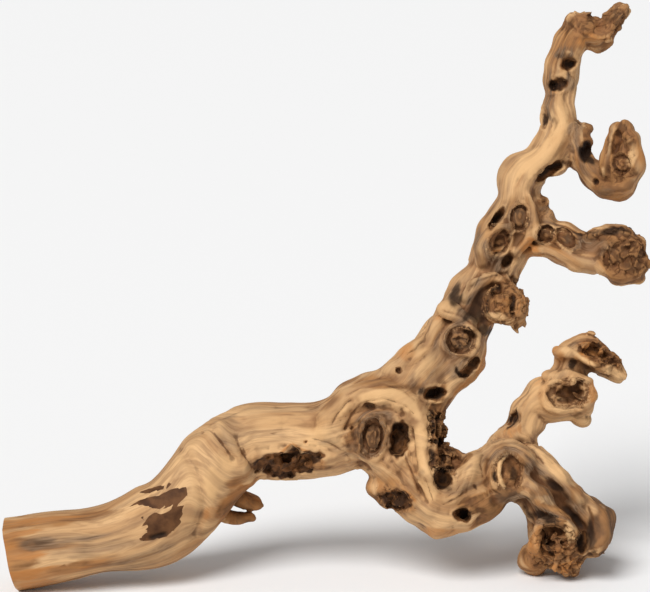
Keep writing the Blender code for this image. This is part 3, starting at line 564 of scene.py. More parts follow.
def add_chip(bm, chip, seed):
    """A scrap of bark: the hull of a few places thrown inside a flat egg."""
    across, down, away, half_length, half_breadth, half_depth, turn = chip
    throw = np.random.default_rng(seed)
    spots = throw.normal(size=(CHIP_CORNERS, 3))
    spots /= np.linalg.norm(spots, axis=1, keepdims=True)
    reach = throw.uniform(*CHIP_REACH, (CHIP_CORNERS, 1))
    spots *= np.array([half_length, half_depth, half_breadth]) * reach * UNIT
    turned = Euler((0, -math.radians(turn), 0)).to_matrix()
    centre = place(across, down, away)
    corners = [bm.verts.new(centre + turned @ Vector(spot)) for spot in spots]
    hull = bmesh.ops.convex_hull(bm, input=corners)
    inner = [item for item in hull["geom_interior"] if isinstance(item, bmesh.types.BMVert)]
    bmesh.ops.delete(bm, geom=inner, context="VERTS")


limbs = [Limb(stations) for stations in LIMBS]
for branch in limbs[1:]:
    branch.continue_from(limbs[0])
bm = bmesh.new()
for limb in limbs:
    limb.sweep(bm)
for stations in STRANDS:
    Limb(stations).sweep(bm)
for burl in BURLS:
    add_burl(bm, burl)
bmesh.ops.recalc_face_normals(bm, faces=bm.faces)
mesh = bpy.data.meshes.new("driftwood_limb")
bm.to_mesh(mesh)
bm.free()
wood = bpy.data.objects.new("driftwood_limb", mesh)
bpy.context.scene.collection.objects.link(wood)
fuse(wood, JOINTS_RELAXED_OVER)

# The large relief follows the part's own, and the scraps of bark are set on.
for work in (nudge, flute, raise_cords, raise_knots, eat_hollows):
    carve(wood, work)
bm = bmesh.new()
bm.from_mesh(wood.data)
for seed, chip in enumerate(CHIPS):
    add_chip(bm, chip, seed)
bm.to_mesh(wood.data)
bm.free()
fuse(wood, RELIEF_RELAXED_OVER)

# The finer relief, in metres: blasted grain, growth rings in the knots, broken burl and crumbled hollows.
GRAIN_WIDTH = 0.0048
GRAIN_HEIGHT = 0.00026
FIBRE_WIDTH = 0.0021
FIBRE_HEIGHT = 0.00012
CRAG_SIZE = 0.0075
CRUMB_SIZE = 0.0032
RING_HEIGHT = 0.0005
RING_BREADTH = 6.5
RING_WOBBLE = 0.32
LUMP_HEIGHT = 0.0016
BLOCK_SHARE = 0.5
CRUMB_SHARE = 0.3
CRACK_SHARE = 0.6
CRACK_GAP = 0.22
GRAIN_DRIFT = 0.004
DRIFT_WIDTH = 0.035
STREAK_SHAPE = [1, 1, 0.09]
FIBRE_SHAPE = [1, 1, 0.07]
STROKE_WANDER = 0.005
DEEPEST_STROKE = -7
HIGHEST_STROKE = 4
SHALLOW = 4
DEEP = 13
TRUNK_TWIST = -1.5
TWIST_FROM = 182
TWIST_TO = 246

# Each crag is a patch of broken bark or burl: across, down, half length, half breadth, its turn, the height
# of its blocks in units, and its side, which is 0 where it goes all round the limb.
CRAGS = [
    (441, 428, 22, 11, 90, 3.6, -1), (447, 458, 17, 15, 0, 3.6, -1), (396, 500, 22, 12, -10, 2.2, -1),
    (514, 303, 18, 26, 0, 2.8, 0), (626, 256, 28, 26, 0, 2.8, 0), (612, 234, 34, 8, 5, 2.4, 0),
    (623, 155, 16, 28, 0, 1.6, -1), (612, 18, 20, 22, 0, 1.8, 0), (585, 20, 24, 14, 0, 1.4, 0),
    (603, 358, 26, 17, -30, 2.4, 0), (568, 394, 22, 16, 0, 1.4, -1), (556, 545, 27, 27, 0, 3.0, -1),
    (570, 566, 22, 14, 0, 3.2, 0), (308, 462, 18, 9, 0, 1.6, -1), (461, 340, 12, 11, 0, 1.6, -1),
    (508, 472, 12, 16, 0, 1.2, -1),
]

# Each stroke is a fine line on the front: a ridge, or where its rise is below nothing a groove or a crack.
# Its half breadth and rise in units, its colour, how strong that is, and its places across and down.
# The dark strokes are grooves and cracks painted near black: painted shade.
STROKES = [
    (2.2, -3.5, "painted_shade_and_dark_streaks", 1.0, [(361, 406), (370, 406), (378, 408)]),
    (1.8, -2.5, "painted_shade_and_dark_streaks", 0.9, [(398, 408), (405, 411)]),
    (2.0, -2.5, "painted_shade_and_dark_streaks", 0.9, [(391, 415), (398, 417)]),
    (3.0, -4.0, "painted_shade_and_dark_streaks", 1.0, [(143, 540), (158, 536), (173, 532)]),
    (2.4, -3.0, "painted_shade_and_dark_streaks", 1.0, [(449, 530), (457, 526)]),
    (1.8, -3.0, "painted_shade_and_dark_streaks", 0.9, [(473, 482), (479, 492)]),
    (3.0, -4.5, "painted_shade_and_dark_streaks", 1.0, [(490, 229), (495, 220), (505, 210)]),
    (1.6, -1.5, "painted_shade_and_dark_streaks", 0.35, [(562, 401), (568, 398)]),
    (2.2, -3.0, "painted_shade_and_dark_streaks", 1.0, [(576, 381), (590, 381)]),
    (2.2, -2.5, "painted_shade_and_dark_streaks", 0.9, [(584, 421), (590, 414)]),
    (3.6, -4.0, "painted_shade_and_dark_streaks", 1.0, [(542, 477), (554, 486), (568, 494)]),
    (4.0, -5.0, "painted_shade_and_dark_streaks", 1.0, [(556, 502), (566, 509), (575, 517), (588, 536)]),
    (2.6, -3.5, "painted_shade_and_dark_streaks", 1.0, [(589, 550), (600, 549)]),
    (2.0, -2.5, "painted_shade_and_dark_streaks", 0.8, [(523, 501), (526, 513)]),
    (1.8, -2.0, "painted_shade_and_dark_streaks", 0.8, [(535, 454), (540, 460)]),
    (4.4, -5.0, "painted_shade_and_dark_streaks", 1.0, [(582, 530), (581, 540), (582, 552)]),
    (3.2, -4.0, "painted_shade_and_dark_streaks", 1.0, [(534, 182), (548, 169), (568, 161)]),
    (3.4, -4.0, "painted_shade_and_dark_streaks", 1.0, [(503, 254), (510, 268)]),
    (3.0, -3.0, "painted_shade_and_dark_streaks", 0.9, [(544, 110), (545, 120), (548, 127)]),
    (4.0, -3.5, "painted_shade_and_dark_streaks", 1.0, [(584, 146), (587, 154), (592, 161)]),
    (1.6, -1.6, "painted_shade_and_dark_streaks", 0.35, [(468, 289), (480, 281), (495, 276), (508, 273), (514, 282)]),
    (1.4, -1.4, "brown", 0.54, [(440, 310), (462, 316), (478, 328), (484, 334)]),
    (1.6, -2.0, "painted_shade_and_dark_streaks", 0.4, [(426, 324), (424, 340), (416, 350), (404, 356)]),
    (1.2, -1.2, "brown", 0.48, [(344, 432), (352, 414), (362, 403), (384, 399), (404, 405), (416, 416)]),
    (1.4, -1.6, "brown", 0.54, [(404, 452), (412, 472), (420, 490), (430, 506)]),
    (1.2, -1.2, "brown", 0.48, [(424, 476), (430, 492), (434, 504)]),
    (1.0, -1.0, "brown", 0.48, [(416, 478), (424, 496)]),
    (1.6, -1.8, "painted_shade_and_dark_streaks", 0.35, [(330, 428), (338, 414), (346, 404), (354, 398)]),
    (1.0, -1.0, "brown", 0.48, [(345, 396), (360, 388), (384, 384), (404, 390), (418, 402)]),
    (1.2, -1.4, "painted_shade_and_dark_streaks", 0.35, [(428, 420), (430, 440), (427, 458), (433, 474), (440, 488)]),
    (1.2, -1.2, "brown", 0.36, [(310, 438), (330, 444), (344, 452), (352, 462)]),
    (1.0, -1.0, "brown", 0.42, [(441, 506), (456, 499), (466, 492), (470, 480), (474, 470)]),
    (1.0, -1.0, "grey", 0.42, [(444, 498), (456, 492), (462, 482), (466, 470), (474, 462)]),
    (1.0, -1.0, "grey", 0.42, [(448, 503), (462, 495), (467, 482), (470, 474)]),
    (1.0, -1.2, "brown", 0.48, [(213, 431), (220, 441), (231, 456)]),
    (1.0, -1.2, "brown", 0.48, [(237, 441), (243, 454), (254, 469)]),
    (0.9, -0.8, "brown", 0.42, [(242, 446), (247, 458)]),
    (2.4, 1.8, "grey", 0.6, [(372, 418), (384, 424), (386, 438), (382, 450), (372, 456), (362, 448),
     (361, 432), (366, 420)]),
    (1.2, -1.6, "painted_shade_and_dark_streaks", 0.35, [(374, 423), (382, 428), (383, 440), (377, 449), (368, 448), (364, 438),
     (366, 427), (374, 423)]),
    (1.4, -1.8, "painted_shade_and_dark_streaks", 0.45, [(369, 432), (368, 440)]),
    (1.2, -1.4, "painted_shade_and_dark_streaks", 0.4, [(376, 427), (379, 434), (375, 440), (373, 434), (376, 427)]),
    (1.6, 1.2, "cream", 0.4, [(371, 444), (373, 440)]),
    (1.2, -1.5, "painted_shade_and_dark_streaks", 0.4, [(360, 418), (358, 432), (361, 446)]),
    (1.2, -1.4, "painted_shade_and_dark_streaks", 0.4, [(386, 420), (389, 434), (387, 448)]),
    (1.2, -1.8, "painted_shade_and_dark_streaks", 0.45, [(450, 340), (461, 339), (473, 340)]),
    (1.2, -1.8, "painted_shade_and_dark_streaks", 0.45, [(459, 333), (458, 342), (461, 349)]),
    (1.4, -1.8, "painted_shade_and_dark_streaks", 0.4, [(452, 330), (460, 327), (470, 329), (474, 338), (472, 348), (463, 353),
     (452, 350), (449, 340), (452, 330)]),
    (2.4, 2.2, "cream", 0.5, [(474, 326), (479, 336), (478, 348), (470, 356)]),
    (2.0, 2.0, "grey", 0.6, [(474, 356), (466, 366), (458, 372)]),
    (2.0, -3.0, "painted_shade_and_dark_streaks", 0.9, [(457, 362), (457, 372), (462, 376), (473, 374)]),
    (2.6, -3.0, "painted_shade_and_dark_streaks", 1.0, [(479, 352), (481, 360)]),
    (2.4, 2.4, "cream", 1.0, [(486, 311), (494, 316), (506, 318)]),
    (1.6, -2.0, "painted_shade_and_dark_streaks", 0.45, [(492, 295), (494, 289), (500, 289), (502, 296)]),
    (2.6, -3.5, "painted_shade_and_dark_streaks", 1.0, [(511, 290), (514, 300), (512, 312), (516, 320)]),
    (2.4, -4.0, "painted_shade_and_dark_streaks", 1.0, [(490, 300), (493, 290), (499, 287), (502, 296)]),
    (2.0, 2.4, "brown", 1.0, [(488, 304), (496, 300), (506, 303), (508, 311)]),
    (1.4, -1.8, "painted_shade_and_dark_streaks", 0.45, [(476, 300), (482, 308), (484, 318), (492, 326)]),
    (1.2, -1.4, "painted_shade_and_dark_streaks", 0.4, [(482, 296), (487, 304), (488, 312)]),
    (1.0, 1.4, "cream", 0.8, [(506, 244), (502, 250), (496, 256), (492, 262)]),
    (1.0, 1.2, "cream", 0.6, [(484, 244), (488, 256), (493, 266)]),
    (1.2, 1.4, "cream", 0.5, [(506, 242), (512, 234), (518, 228)]),
    (2.2, 1.6, "orange", 1.0, [(488, 248), (493, 252), (500, 250), (505, 244)]),
    (1.2, -1.6, "painted_shade_and_dark_streaks", 0.45, [(494, 241), (498, 236), (504, 237), (505, 243), (500, 246), (495, 245),
     (494, 241)]),
    (1.6, 1.4, "brown", 0.9, [(491, 234), (498, 230), (502, 233), (510, 232), (513, 236)]),
    (1.2, -1.6, "painted_shade_and_dark_streaks", 0.45, [(513, 210), (520, 206), (527, 210), (528, 220), (523, 228), (516, 228),
     (512, 220), (513, 210)]),
    (1.2, -1.2, "painted_shade_and_dark_streaks", 0.4, [(514, 204), (519, 201), (524, 205)]),
    (1.2, -1.8, "painted_shade_and_dark_streaks", 0.45, [(538, 238), (541, 229), (548, 226), (554, 230), (552, 238), (544, 244),
     (538, 242)]),
    (1.2, -1.8, "painted_shade_and_dark_streaks", 0.45, [(556, 230), (564, 228), (572, 234), (575, 244)]),
    (1.6, 1.6, "cream", 0.6, [(556, 240), (564, 248), (571, 253), (576, 246)]),
    (1.2, -1.4, "brown", 0.54, [(555, 236), (564, 236), (572, 246)]),
    (1.6, 2.0, "cream", 0.9, [(512, 454), (505, 456), (500, 464), (499, 474), (502, 484), (508, 490)]),
    (3.2, 2.2, "cream", 0.9, [(515, 455), (519, 460)]),
    (2.0, -2.6, "painted_shade_and_dark_streaks", 1.0, [(496, 467), (494, 477), (498, 486)]),
    (1.8, -2.2, "brown", 1.0, [(505, 462), (504, 474), (506, 482)]),
    (3.4, -3.4, "painted_shade_and_dark_streaks", 0.9, [(516, 468), (515, 480)]),
    (1.4, -1.2, "painted_shade_and_dark_streaks", 0.4, [(511, 487), (515, 490)]),
    (1.2, 1.2, "cream", 0.6, [(538, 504), (546, 500), (552, 505)]),
    (1.2, 1.4, "cream", 0.5, [(536, 448), (550, 458), (562, 472), (568, 482)]),
    (1.2, -1.4, "grey", 0.54, [(490, 448), (504, 441), (520, 442), (534, 450), (546, 466)]),
    (1.2, -1.4, "grey", 0.54, [(524, 452), (534, 464), (538, 478)]),
    (1.2, -1.2, "painted_shade_and_dark_streaks", 0.35, [(484, 452), (481, 464), (484, 480)]),
    (4.6, 2.4, "orange", 1.0, [(546, 524), (538, 530), (534, 542), (537, 554), (547, 560)]),
    (2.6, 1.4, "cream", 0.9, [(538, 530), (536, 542), (539, 552)]),
    (3.0, 2.2, "cream", 1.0, [(574, 524), (570, 532), (567, 541)]),
    (2.2, 1.6, "brown", 0.8, [(546, 523), (556, 520), (566, 522)]),
    (3.0, -3.0, "painted_shade_and_dark_streaks", 1.0, [(550, 542), (554, 546)]),
    (2.4, -2.4, "painted_shade_and_dark_streaks", 0.9, [(562, 542), (565, 545)]),
    (2.0, -2.0, "painted_shade_and_dark_streaks", 0.9, [(548, 530), (546, 540), (550, 552), (558, 556)]),
    (1.8, -1.8, "painted_shade_and_dark_streaks", 0.9, [(558, 528), (562, 536)]),
    (1.6, 1.6, "cream", 0.7, [(598, 503), (604, 506), (608, 511)]),
    (1.6, -1.8, "painted_shade_and_dark_streaks", 0.4, [(588, 504), (592, 520), (590, 540)]),
    (2.6, 2.4, "cream", 0.9, [(566, 379), (572, 378), (575, 383), (570, 389)]),
    (1.8, 1.8, "cream", 0.6, [(548, 384), (556, 381), (566, 380)]),
    (1.4, -1.8, "painted_shade_and_dark_streaks", 0.45, [(546, 388), (550, 398), (556, 406), (566, 408), (578, 407), (588, 410)]),
    (3.2, -3.4, "painted_shade_and_dark_streaks", 0.9, [(580, 403), (585, 404)]),
    (2.0, -2.0, "brown", 0.9, [(548, 390), (558, 393), (568, 394)]),
    (2.2, 2.0, "cream", 0.8, [(571, 348), (580, 357), (590, 363), (600, 368)]),
    (1.4, -1.6, "painted_shade_and_dark_streaks", 0.45, [(600, 366), (608, 360), (619, 358)]),
    (1.4, 1.4, "cream", 0.6, [(602, 370), (610, 366), (618, 364)]),
    (1.4, -1.8, "painted_shade_and_dark_streaks", 0.45, [(579, 340), (580, 350), (590, 356), (598, 360)]),
    (1.4, -1.6, "painted_shade_and_dark_streaks", 0.4, [(604, 128), (609, 142), (606, 156)]),
    (1.6, 1.8, "cream", 0.5, [(618, 124), (613, 134), (610, 146), (609, 158)]),
    (1.6, -2.0, "painted_shade_and_dark_streaks", 0.45, [(617, 128), (622, 138), (616, 150), (612, 156)]),
    (1.6, 1.8, "cream", 0.7, [(634, 136), (628, 142), (623, 146)]),
    (1.4, -1.8, "painted_shade_and_dark_streaks", 0.45, [(614, 165), (616, 158), (623, 156), (630, 160), (631, 167), (626, 172),
     (618, 171), (614, 165)]),
    (1.4, -1.4, "brown", 0.54, [(619, 164), (623, 161), (627, 165), (623, 168), (619, 164)]),
    (2.8, -2.6, "painted_shade_and_dark_streaks", 0.9, [(630, 174), (638, 172)]),
    (1.6, 1.8, "cream", 0.7, [(602, 164), (604, 174), (606, 180)]),
    (2.4, 1.8, "cream", 1.0, [(616, 186), (618, 187)]),
    (3.0, -3.0, "painted_shade_and_dark_streaks", 0.9, [(595, 181), (598, 184)]), (2.0, -2.0, "painted_shade_and_dark_streaks", 0.9, [(608, 36), (611, 38)]),
    (3.4, -3.4, "painted_shade_and_dark_streaks", 1.0, [(615, 8), (621, 12), (626, 16)]),
    (2.2, -2.2, "painted_shade_and_dark_streaks", 0.9, [(582, 25), (586, 25)]), (1.2, 1.2, "cream", 0.9, [(588, 27), (590, 29)]),
    (1.2, -1.4, "painted_shade_and_dark_streaks", 0.4, [(574, 37), (579, 40)]),
    (1.2, -1.4, "brown", 0.48, [(578, 30), (586, 36), (596, 32)]),
    (1.4, 1.4, "cream", 0.6, [(564, 52), (571, 52), (577, 56)]),
    (1.2, -1.6, "painted_shade_and_dark_streaks", 0.4, [(567, 70), (572, 76), (577, 79)]),
    (1.4, 1.4, "orange", 0.8, [(552, 78), (550, 84), (553, 92), (560, 93)]),
    (2.4, -2.4, "painted_shade_and_dark_streaks", 0.9, [(256, 463), (262, 461)]),
    (1.4, -1.6, "painted_shade_and_dark_streaks", 0.45, [(286, 452), (292, 446), (297, 450), (299, 458)]),
    (1.2, 1.4, "orange", 0.8, [(262, 462), (272, 458), (282, 452), (292, 443), (302, 450), (318, 454)]),
    (1.6, -1.8, "painted_shade_and_dark_streaks", 0.45, [(302, 454), (309, 460), (306, 470)]),
    (1.4, -1.4, "painted_shade_and_dark_streaks", 0.4, [(276, 470), (290, 466), (302, 470)]),
    (1.6, -1.8, "painted_shade_and_dark_streaks", 0.45, [(376, 494), (384, 498), (384, 508)]),
    (1.4, -1.6, "painted_shade_and_dark_streaks", 0.45, [(393, 494), (392, 504)]),
    (2.4, -2.4, "painted_shade_and_dark_streaks", 1.0, [(408, 502), (415, 505)]),
    (1.4, 1.4, "cream", 0.8, [(432, 402), (440, 402)]),
    (4.2, 1.4, "cream", 1.0, [(447, 454), (452, 460), (455, 465)]),
    (3.0, -5.5, "painted_shade_and_dark_streaks", 1.0, [(426, 417), (436, 418), (450, 414)]),
    (2.6, -4.5, "painted_shade_and_dark_streaks", 1.0, [(431, 404), (432, 416), (434, 428), (431, 440)]),
    (2.6, -4.5, "painted_shade_and_dark_streaks", 1.0, [(440, 424), (447, 432), (452, 433)]),
    (3.0, -5.5, "painted_shade_and_dark_streaks", 1.0, [(426, 439), (438, 442), (452, 448)]),
    (3.0, -5.0, "painted_shade_and_dark_streaks", 1.0, [(430, 444), (433, 456), (432, 470)]),
    (3.0, -5.5, "painted_shade_and_dark_streaks", 1.0, [(428, 466), (444, 471), (460, 465)]),
    (2.2, -3.5, "painted_shade_and_dark_streaks", 1.0, [(440, 450), (444, 458), (441, 468)]),
    (1.6, 2.4, "cream", 0.8, [(428, 400), (436, 403), (446, 401)]),
    (1.4, 2.0, "cream", 0.6, [(436, 421), (441, 428), (439, 438)]),
]

# Each hole is small and round: across, down, radius.
HOLES = [
    (202, 432, 1.8), (306, 442, 2.0), (257, 472, 2.4), (352, 428, 2.0), (496, 291, 3.0), (399, 370, 3.4),
    (519, 204, 2.0), (546, 201, 3.6), (552, 543, 3.4), (464, 514, 5.0), (596, 182, 3.4),
]


def disc_share(points, normals, disc, side, ragged):
    """How much each point belongs to a ragged disc, from 1 inside it to 0 outside."""
    share = 1 - smooth_step(0.7, 1.15, in_radii(points, disc) + ragged)
    if side:
        share = share * facing(normals, side)
    return share


def crag_height(points, normals):
    """How far the broken blocks stand at each point, in units."""
    ragged = 0.45 * rough(points / 0.009)
    height = np.zeros(len(points))
    for crag in CRAGS:
        height = np.maximum(height, crag[5] * disc_share(points, normals, crag, crag[6], ragged))
    return height


def hollow_share(points, normals):
    """How far inside a hollow each point lies, from 0 to 1, counting more in deeper hollows; in the colour it
    is rot and painted shade.
    """
    ragged = frayed(points)
    share = np.zeros(len(points))
    for hollow in HOLLOWS:
        darkness = min(1, max(0, (hollow[5] - SHALLOW) / (DEEP - SHALLOW)))
        share = np.maximum(share, darkness * disc_share(points, normals, hollow, hollow[6], ragged))
    return share


def wound(points, grain):
    """The grain winds round the trunk where the trunk turns."""
    angle = TRUNK_TWIST * smooth_step(TWIST_TO, TWIST_FROM, seen(points)[:, 0])
    across = grain[:, 0] * np.cos(angle) - grain[:, 1] * np.sin(angle)
    deep = grain[:, 0] * np.sin(angle) + grain[:, 1] * np.cos(angle)
    return np.column_stack([across, deep, grain[:, 2]])


def knot_grain(points, normals, grain):
    """The grain bends round each knot, and runs in rings inside it."""
    bent = wound(points, grain)
    for number, knot in enumerate(KNOTS):
        radius = in_radii(points, knot)
        near = facing(normals, knot[6]) * (1 - smooth_step(1.6, 2.4, radius))
        middle = bent[(radius * (1 - 0.9 * near)).argmin()]
        squeeze = 1 - np.exp(-1.1 * np.maximum(radius**2 - 0.8, 0))
        outside = middle + (bent - middle) * np.stack([squeeze, squeeze, np.ones(len(points))], 1)
        bent += (outside - bent) * near[:, None]
        rings = np.zeros_like(bent)
        rings[:, 0] = radius * knot[2] * UNIT
        rings[:, 1] = 0.013 * number
        inside = facing(normals, knot[6]) * (1 - smooth_step(0.75, 1.15, radius))
        bent += (rings - bent) * inside[:, None]
    return bent


def drifting(places):
    """A smooth noise with a direction at each place."""
    return np.array([noise.noise_vector(place) for place in places.tolist()])


def wavy_grain(points, normals):
    """The whole skin's grain: it follows the limbs, bends round the knots and wavers."""
    return knot_grain(points, normals, grain_of(points, limbs)) + GRAIN_DRIFT * drifting(points / DRIFT_WIDTH)


def blast(points, normals):
    """The soft wood between the fibres is blasted out along the grain."""
    grain = wavy_grain(points, normals)
    ridges = 1 - 2 * np.abs(rough(grain * STREAK_SHAPE / GRAIN_WIDTH))
    fibres = rough(grain * FIBRE_SHAPE / FIBRE_WIDTH)
    calm = 1 - 0.6 * np.clip(crag_height(points, normals) / 2, 0, 1)
    return points + normals * (calm * (GRAIN_HEIGHT * (ridges - 0.5) + FIBRE_HEIGHT * fibres))[:, None]


def break_crags(points, normals):
    """Torn wood stands in blocks with deep cracks between them."""
    height = crag_height(points, normals)
    broken = np.nonzero(height > 0.05)[0]
    places = points[broken] / CRAG_SIZE
    places += 0.45 * drifting(places * 1.3)
    cells = [noise.voronoi(place) for place in places.tolist()]
    gaps = np.array([found[0][1] - found[0][0] for found in cells])
    blocks = np.array([noise.cell(found[1][0] * 31) for found in cells])
    crumbs = rough(points[broken] / CRUMB_SIZE)
    cracks = 1 - smooth_step(0, CRACK_GAP, gaps)
    rise = np.zeros(len(points))
    shape = BLOCK_SHARE * (blocks - 0.4) + CRUMB_SHARE * crumbs - CRACK_SHARE * cracks
    rise[broken] = shape * height[broken] * UNIT
    return points + normals * rise[:, None]


def fold_knots(points, normals):
    """Uneven growth rings stand out inside each knot, and it cracks across them."""
    wobble = RING_WOBBLE * rough(points / 0.008)
    cracks = rough(points * [1, 1, 0.35] / 0.005)
    whole = 1 - np.clip(crag_height(points, normals) / 1.5, 0, 1)
    for knot in KNOTS:
        radius = in_radii(points, knot) + wobble
        inside = (1 - smooth_step(0.7, 0.95, radius)) * facing(normals, knot[6])
        rings = np.cos(2 * math.pi * radius * knot[3] / RING_BREADTH)
        split_open = np.exp(-((cracks / 0.09) ** 2))
        height = RING_HEIGHT * rings - 1.6 * RING_HEIGHT * split_open
        points = points + normals * (inside * whole * height)[:, None]
    return points


def crumble(points, normals):
    """The hollows are rough inside."""
    depth = hollow_share(points, normals)
    lumps = rough(points / 0.0052) + 0.5 * rough(points / 0.0026)
    return points + normals * (depth * lumps * LUMP_HEIGHT)[:, None]


def drawn(points, half_breadth, line, wander):
    """The points near a drawn line, and how much each belongs to it: the line tapers towards its ends."""
    line = np.array(line, float)
    reach = 3 * half_breadth + 2
    places = seen(points)
    low, high = line.min(0) - reach, line.max(0) + reach
    found = np.nonzero(((places > low) & (places < high)).all(1))[0]
    away = from_line(points[found], line) + wander[found]
    share = np.exp(-((away / half_breadth) ** 2))
    if not np.array_equal(line[0], line[-1]):
        for end in (line[0], line[-1]):
            gap = np.linalg.norm(places[found] - end, axis=1)
            share *= smooth_step(0, 3.5 * half_breadth, gap)
    return found, share


def draw_strokes(points, normals):
    """Fine ridges, grooves and cracks, each wandering a little from its line."""
    front = facing(normals, -1)
    wander = rough(points / STROKE_WANDER)
    rise = np.zeros(len(points))
    for half_breadth, height, _, _, line in STROKES:
        found, share = drawn(points, half_breadth, line, wander)
        rise[found] += height * share
    for across, down, radius in HOLES:
        away = in_radii(points, (across, down, radius, radius, 0)) + 0.2 * wander
        rise -= 1.6 * radius * (1 - smooth_step(0.5, 1.15, away))
    rise = np.clip(rise, DEEPEST_STROKE, HIGHEST_STROKE)
    return points + normals * (rise * front * UNIT)[:, None]


for work in (blast, break_crags, fold_knots, crumble, draw_strokes):
    carve(wood, work)

# The skin is thinned to about MOST_TRIANGLES triangles, and the butt is sawn.
decimate = wood.modifiers.new("fewer facets", "DECIMATE")
decimate.ratio = min(1, MOST_TRIANGLES / (2 * len(wood.data.polygons)))
apply_modifiers(wood)
BUTT_POINT = place(*BUTT_CUT)
BUTT_NORMAL = Vector(BUTT_FACING).normalized()
bm = bmesh.new()
bm.from_mesh(wood.data)
saw(bm, BUTT_POINT, BUTT_NORMAL)
bmesh.ops.triangulate(bm, faces=[face for face in bm.faces if len(face.verts) > 4])
bm.to_mesh(wood.data)
bm.free()

# What the colours need to know at each point of the skin.
points, normals = skin_of(wood)
edges = np.empty(len(wood.data.edges) * 2, int)
wood.data.edges.foreach_get("vertices", edges)
edges = edges.reshape(-1, 2)
FINE_ROUNDS = 6
FINE_DEPTH = 0.5
BROAD_ROUNDS = 60
BROAD_DEPTH = 2.2
SHELTER_REACH = 0.022
SHELTER_GAP = 0.0006
SHELTER_LOOKS = [
    (turn * math.cos(angle), turn * math.sin(angle), rise)
    for turn, rise, count in ((0.001, 1, 1), (0.8, 0.6, 5), (1, 0, 6), (0.8, -0.6, 5), (0.001, -1, 1))
    for angle in (2 * math.pi * (step + 0.5 * rise) / count for step in range(count))
]


def sunken(rounds):
    """How far the skin lies below itself smoothed, in millimetres."""
    joined = np.bincount(edges.ravel(), minlength=len(points))[:, None]
    smoothed = points.copy()
    for _ in range(rounds):
        total = np.zeros_like(points)
        for axis in range(3):
            for one, other in ((0, 1), (1, 0)):
                total[:, axis] += np.bincount(edges[:, one], smoothed[edges[:, other], axis], len(points))
        smoothed += (total / joined - smoothed) * 0.6
    return ((smoothed - points) * normals).sum(1) * 1000


def occlusion_shade_share():
    """How much of the open space round each point the wood itself fills, from 0 to 1, as painted shade."""
    looks = [Vector(look).normalized() for look in SHELTER_LOOKS]
    mesh = wood.data
    tree = BVHTree.FromPolygons(points.tolist(), [tuple(face.vertices) for face in mesh.polygons])
    share = np.zeros(len(points))
    for look in looks:
        facing_look = normals @ look
        for index in np.nonzero(facing_look > 0.2)[0]:
            start = points[index] + normals[index] * SHELTER_GAP
            if tree.ray_cast(start, look, SHELTER_REACH)[0]:
                share[index] += facing_look[index]
    total = sum(np.maximum(normals @ look, 0) for look in looks)
    share /= total
    joined = np.bincount(edges.ravel(), minlength=len(points))
    for _ in range(2):
        around = np.bincount(edges[:, 0], share[edges[:, 1]], len(points))
        around += np.bincount(edges[:, 1], share[edges[:, 0]], len(points))
        share = 0.5 * share + 0.5 * around / joined
    return share


